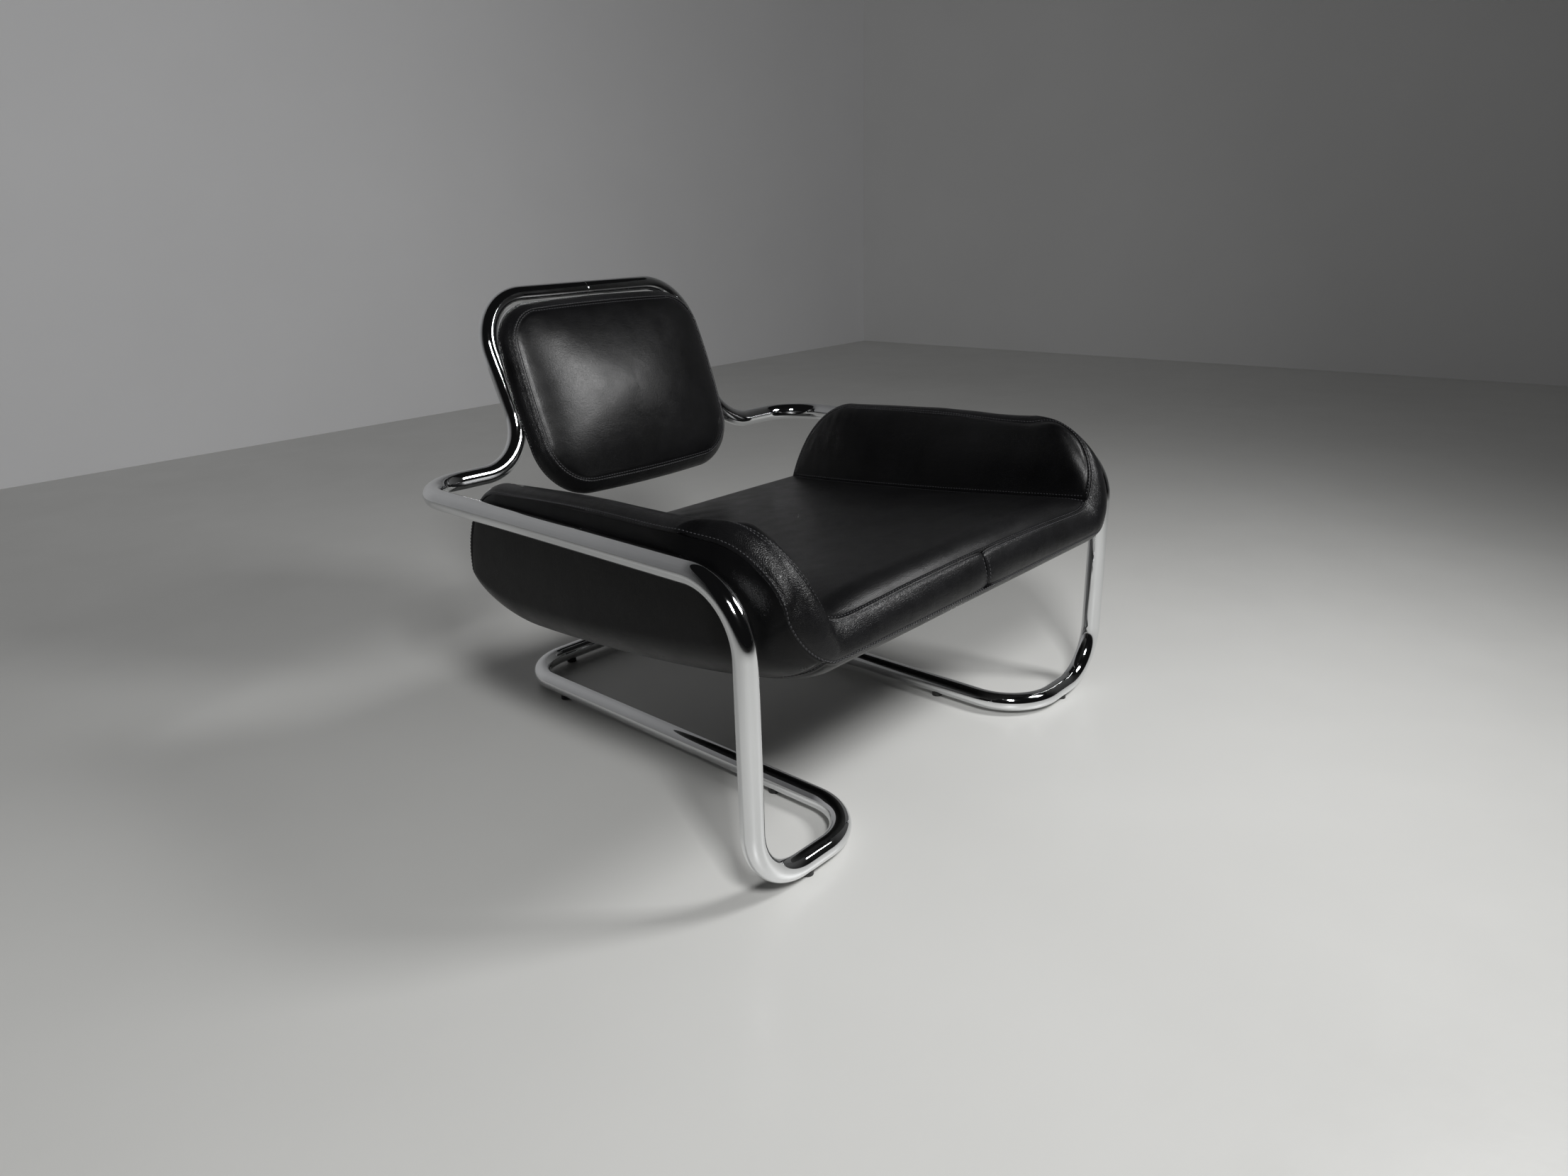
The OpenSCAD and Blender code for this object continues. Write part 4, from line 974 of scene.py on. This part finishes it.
def make_back_cushion():
    XY, rho, rad = pad_grid(110, BAND_TOP_IN + GAP)
    d = (1 - rho) * rad
    rise, full = pad_crown(XY, d)
    P = to_back(XY, SEAM_T)
    top = P + PAD_OUT * (rise + full)[..., None]
    CXY, crho, crad = pad_grid(52, BAND_TOP_IN + GAP, dense=False)
    start = CROWN_START * pad_crown(CXY, (1 - crho) * crad)[0]
    D = swell(to_back(CXY, SEAM_T) + PAD_OUT * start[..., None],
              to_back(CXY * 0.97 + PAD_MID * 0.03, BOARD_T1 + GAP), PAD_OUT,
              cap=24.0, slack=0.006, soften=2)
    swelled = float(np.percentile((D * PAD_OUT).sum(-1), 98))
    D = D * min(1.0, CROWN_SWELL * PAD_CROWN / max(swelled, 1e-3))
    carried = spread(CXY, D, XY, reach=13.0) * (1 - np.exp(-d / 10.0))[..., None]
    top = P + PAD_OUT * (full + CROWN_START * rise)[..., None] + carried
    creases = 0.4 * value_noise(P, 0.011, 51.0) * smooth(d, 10, 60)
    creases += 0.08 * value_noise(P, 0.04, 57.0) * smooth(d, 6, 40)
    ang = np.arctan2(XY[..., 1] - PAD_MID[1], XY[..., 0])
    # Folds that run in from the seam at the pad's sides
    side = (np.exp(-((np.abs(ang) - 0.1 * math.pi) / 1.0) ** 2)
            + np.exp(-((math.pi - np.abs(ang)) / 0.95) ** 2))
    bent = ang + 0.10 * np.sin(d / 22.0)
    rays = np.sin(bent * 21 + 2.2 * np.sin(bent * 4) + 1.0)
    creases += 0.16 * rays * side * np.exp(-d / 26) * (1 - np.exp(-d / 9))
    fine = np.sin(ang * 60 + 2.5 * np.sin(ang * 5) + 1.5 * np.sin(ang * 3 + 1))
    creases += 0.08 * fine * np.exp(-d / 12) * (1 - np.exp(-d / 4))
    creases -= roll_in(d) + stitch_dip(d)
    top = top + PAD_OUT * creases[..., None]
    # The rear face is drawn out to the inside of the band
    wall = at_angle(outline(WALL_IN + GAP), ang)
    low = to_back(PAD_MID + (wall - PAD_MID) * rho[..., None], BOARD_T1 + GAP)
    edge = rho > 1 - 1e-9
    top[edge] = to_back(XY[edge], SEAM_T - SEAM_H - LIP_FALL)
    N = grid_normal(top)
    flip = (N * PAD_OUT).sum() < 0
    ob = solid_from("back_cushion_pad", top, low, PAD_LEATHER, not flip)
    finish_piece(ob, "back_cushion")
    add_stitches("back_cushion_pad", *ring_line(top, -N if flip else N, STITCH_IN))


def ring_line(top, N, d):
    """The closed line at distance d inside the seam of the back cushion, with its normals."""
    n = top.shape[0]
    pts, nrm = [], []
    order = ([(n - 1, v) for v in range(n // 2, n)] + [(u, n - 1) for u in range(n - 2, -1, -1)]
             + [(0, v) for v in range(n - 2, -1, -1)] + [(u, 0) for u in range(1, n)]
             + [(n - 1, v) for v in range(1, n // 2 + 1)])
    # Rows that run in from either side of the grid
    inward = {0: np.arange(n // 2), n - 1: np.arange(n - 1, n // 2, -1)}
    for u, v in order:
        row = (inward[u], v) if u in inward else (u, inward[v])
        s = run_length(top[row])
        pts.append([np.interp(d, s, top[row][:, i]) for i in range(3)])
        nrm.append([np.interp(d, s, N[row][:, i]) for i in range(3)])
    return np.array(pts), unit(np.array(nrm))


def make_back_band():
    """The band round the back pad: K is the share of its depth, from the rear to the front seam."""
    e = np.array([0.0, 0.5, 1.1, 1.8, 2.7, 3.8, 5.2, 7.0]) / PAD_BAND_D
    K = np.concatenate([e, np.linspace(e[-1], 1 - e[-1], 10)[1:-1], (1 - e)[::-1]])
    n = 110
    base = outline(0.0, n)
    rel = base - PAD_MID
    ang = np.arctan2(rel[:, 1], rel[:, 0])
    rings = []
    for k in K:
        d = min(k, 1 - k) * PAD_BAND_D
        lift = SEAM_H * (1 - (2 * k - 1) ** 2) + SEAM_H / 2
        inset = (SEAM_H / 2 + PAD_TAPER * k - lift + 0.9 * roll_in(np.array(d))
                 + 0.3 * math.exp(-(d - STITCH_IN) ** 2))
        inset = max(float(inset), -1.2)
        ring = at_angle(outline(max(inset, 0.0), n), ang)
        if inset < 0:
            ring = ring - unit(ring - PAD_MID) * inset
        t = mix(PAD_T0, SEAM_T, k) - (SEAM_H + LIP_FALL * 0.5 if k > 1 - 1e-9 else 0.0)
        rings.append(to_back(ring, t))
    top = np.stack(rings, 1)
    out = unit(to_back(base, 0.0) - to_back(PAD_MID[None], 0.0))[:, None]
    dd = np.minimum(K, 1 - K) * PAD_BAND_D
    nz = (value_noise(top, 0.07, 71.0) * 0.2 * (1 - np.exp(-dd / 2.5))
          + value_noise(top, 0.02, 75.0) * 0.5 * smooth(dd, 2, 10))
    top = top + out * nz[..., None]
    wall = at_angle(outline(WALL_IN, n), ang)
    inside = [to_back(wall, t)[:, None] for t in (BOARD_T1 + GAP, PAD_T0)]
    full = np.concatenate([top, *inside], 1)
    nu, nv = full.shape[:2]
    faces = []
    for i in range(nu):
        j = (i + 1) % nu
        for v in range(nv):
            w = (v + 1) % nv
            faces.append((i * nv + v, j * nv + v, j * nv + w, i * nv + w))
    ob = mesh_object("back_side_band", full.reshape(-1, 3), faces, BAND_LEATHER_PAINTED_SHEEN)
    finish_piece(ob, "back_band")
    closed = np.concatenate([top, top[:1]], 0)
    N = grid_normal(closed)
    if (N[:-1] * out).sum() < 0:
        N = -N
    for e in ("v0", "v1"):
        add_stitches("back_side_band", *row_at(closed, N, e, STITCH_IN))


def make_rear_cover():
    XY, rho, rad = pad_grid(70, WALL_IN + GAP)
    d = (1 - rho) * rad
    puff = 2.6 * (1 - rho ** 2.5) * smooth(d, 16, 60)
    n = value_noise(to_back(XY, 0.0), 0.014, 91.0) * 0.5 * smooth(d, 20, 60)
    back = to_back(XY, PAD_T0) - PAD_OUT * (puff + n - 0.9 * np.exp(-d / 2.0))[..., None]
    flip = (grid_normal(back) * -PAD_OUT).sum() < 0
    front = to_back(XY, PAD_T0 + LEATHER_T)
    ob = solid_from("back_rear_panel", back, front, SIDE_LEATHER_PAINTED_SHADE, not flip)
    finish_piece(ob, "back_rear_cover")


make_back_cushion()
make_back_band()
make_rear_cover()

for key, (verts, faces) in stitches.items():
    ob = mesh_object("stitches_" + key, verts, faces, THREAD)
    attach(ob, "root")


# Stage, in metres: a plain pale floor and two walls, well away from the chair, the left one pale and
# the right one greyer, with painted shade that darkens it away from the corner
STAGE, WALL_H = 9, 5
CORNER_AT, FAR_LEFT, FAR_RIGHT = (4.0, 2.92), (-STAGE, 2.72), (4.4, -6)


def stage_plane(name, pts, mat):
    mesh_object(name, np.array(pts) / MM, [tuple(range(len(pts)))], mat, shade=False)


def stage_wall(name, a, b, mat):
    stage_plane(name, [(*a, 0), (*b, 0), (*b, WALL_H), (*a, WALL_H)], mat)


def stage_mat(name, c0, c1, r0, r1, scale, bump, painted_shade=None):
    """A matt material; painted_shade gives two places along Y and the share its colour has at the
    first: painted shade, darkest below the first place and gone beyond the second.
    """
    m, nt, b = new_mat(name)
    co = node(nt, "TexCoord").outputs["Object"]
    col = ramp(nt, noise_of(nt, co, scale, 4.0), [(0.3, c0), (0.7, c1)])
    if painted_shade:
        sep = node(nt, "SeparateXYZ")
        nt.links.new(co, sep.inputs[0])
        run = node(nt, "MapRange", [("From Min", painted_shade[0]), ("From Max", painted_shade[1])])
        nt.links.new(sep.outputs["Y"], run.inputs["Value"])
        mul = node(nt, "VectorMath", operation="MULTIPLY")
        nt.links.new(col, mul.inputs[0])
        nt.links.new(ramp(nt, run.outputs[0], [(0.0, painted_shade[2]), (1.0, 1.0)]), mul.inputs[1])
        col = mul.outputs[0]
    nt.links.new(col, b.inputs["Base Color"])
    rough = ramp(nt, noise_of(nt, co, scale * 7, 5.0), [(0.3, r0), (0.7, r1)])
    nt.links.new(rough, b.inputs["Roughness"])
    bump_chain(nt, b, [(noise_of(nt, co, 30.0, 4.0), bump, 0.4)])
    return m


FLOOR = stage_mat("floor_pale", (0.66, 0.66, 0.64), (0.72, 0.72, 0.70), 0.30, 0.42,
                  scale=0.9, bump=0.0006)
WALL_L = stage_mat("wall_left_pale", (0.84, 0.84, 0.85), (0.90, 0.90, 0.91), 0.8, 0.9,
                   scale=0.7, bump=0.0002)
# The right wall's colour is darkened towards low Y by painted shade
WALL_R = stage_mat("wall_right_grey_painted_shade", (0.74, 0.74, 0.74), (0.80, 0.80, 0.80), 0.8, 0.9,
                   scale=0.7, bump=0.0002, painted_shade=(-0.6, 2.9, 0.6))
stage_plane("floor", [(x * STAGE, y * STAGE, 0) for x, y in ((-1, -1), (1, -1), (1, 1), (-1, 1))],
            FLOOR)
stage_wall("wall_left", FAR_LEFT, CORNER_AT, WALL_L)
stage_wall("wall_right", CORNER_AT, FAR_RIGHT, WALL_R)


def lamp(name, loc, target, size, power):
    """A soft rectangular lamp, in metres and watts."""
    li = bpy.data.lights.new(name, "AREA")
    li.shape = "RECTANGLE"
    li.size, li.size_y = size
    li.energy = power
    ob = bpy.data.objects.new(name, li)
    scene.collection.objects.link(ob)
    ob.location = loc
    ob.rotation_euler = (Vector(target) - Vector(loc)).to_track_quat("-Z", "Y").to_euler()


LAMP_SIZE = (0.42, 0.56)
lamp("lamp_right", (0.72, -1.22, 1.43), (-0.5, 0.7, 0.4), LAMP_SIZE, 20)
lamp("lamp_left", (-1.2, -1.6, 1.87), (0.6, 1.2, 0.5), LAMP_SIZE, 40)

world = bpy.data.worlds.new("world")
scene.world = world
world.use_nodes = True
bg = world.node_tree.nodes["Background"]
bg.inputs[0].default_value = (0.005, 0.005, 0.0052, 1)
bg.inputs[1].default_value = 1.0

scene.view_settings.view_transform = "Standard"
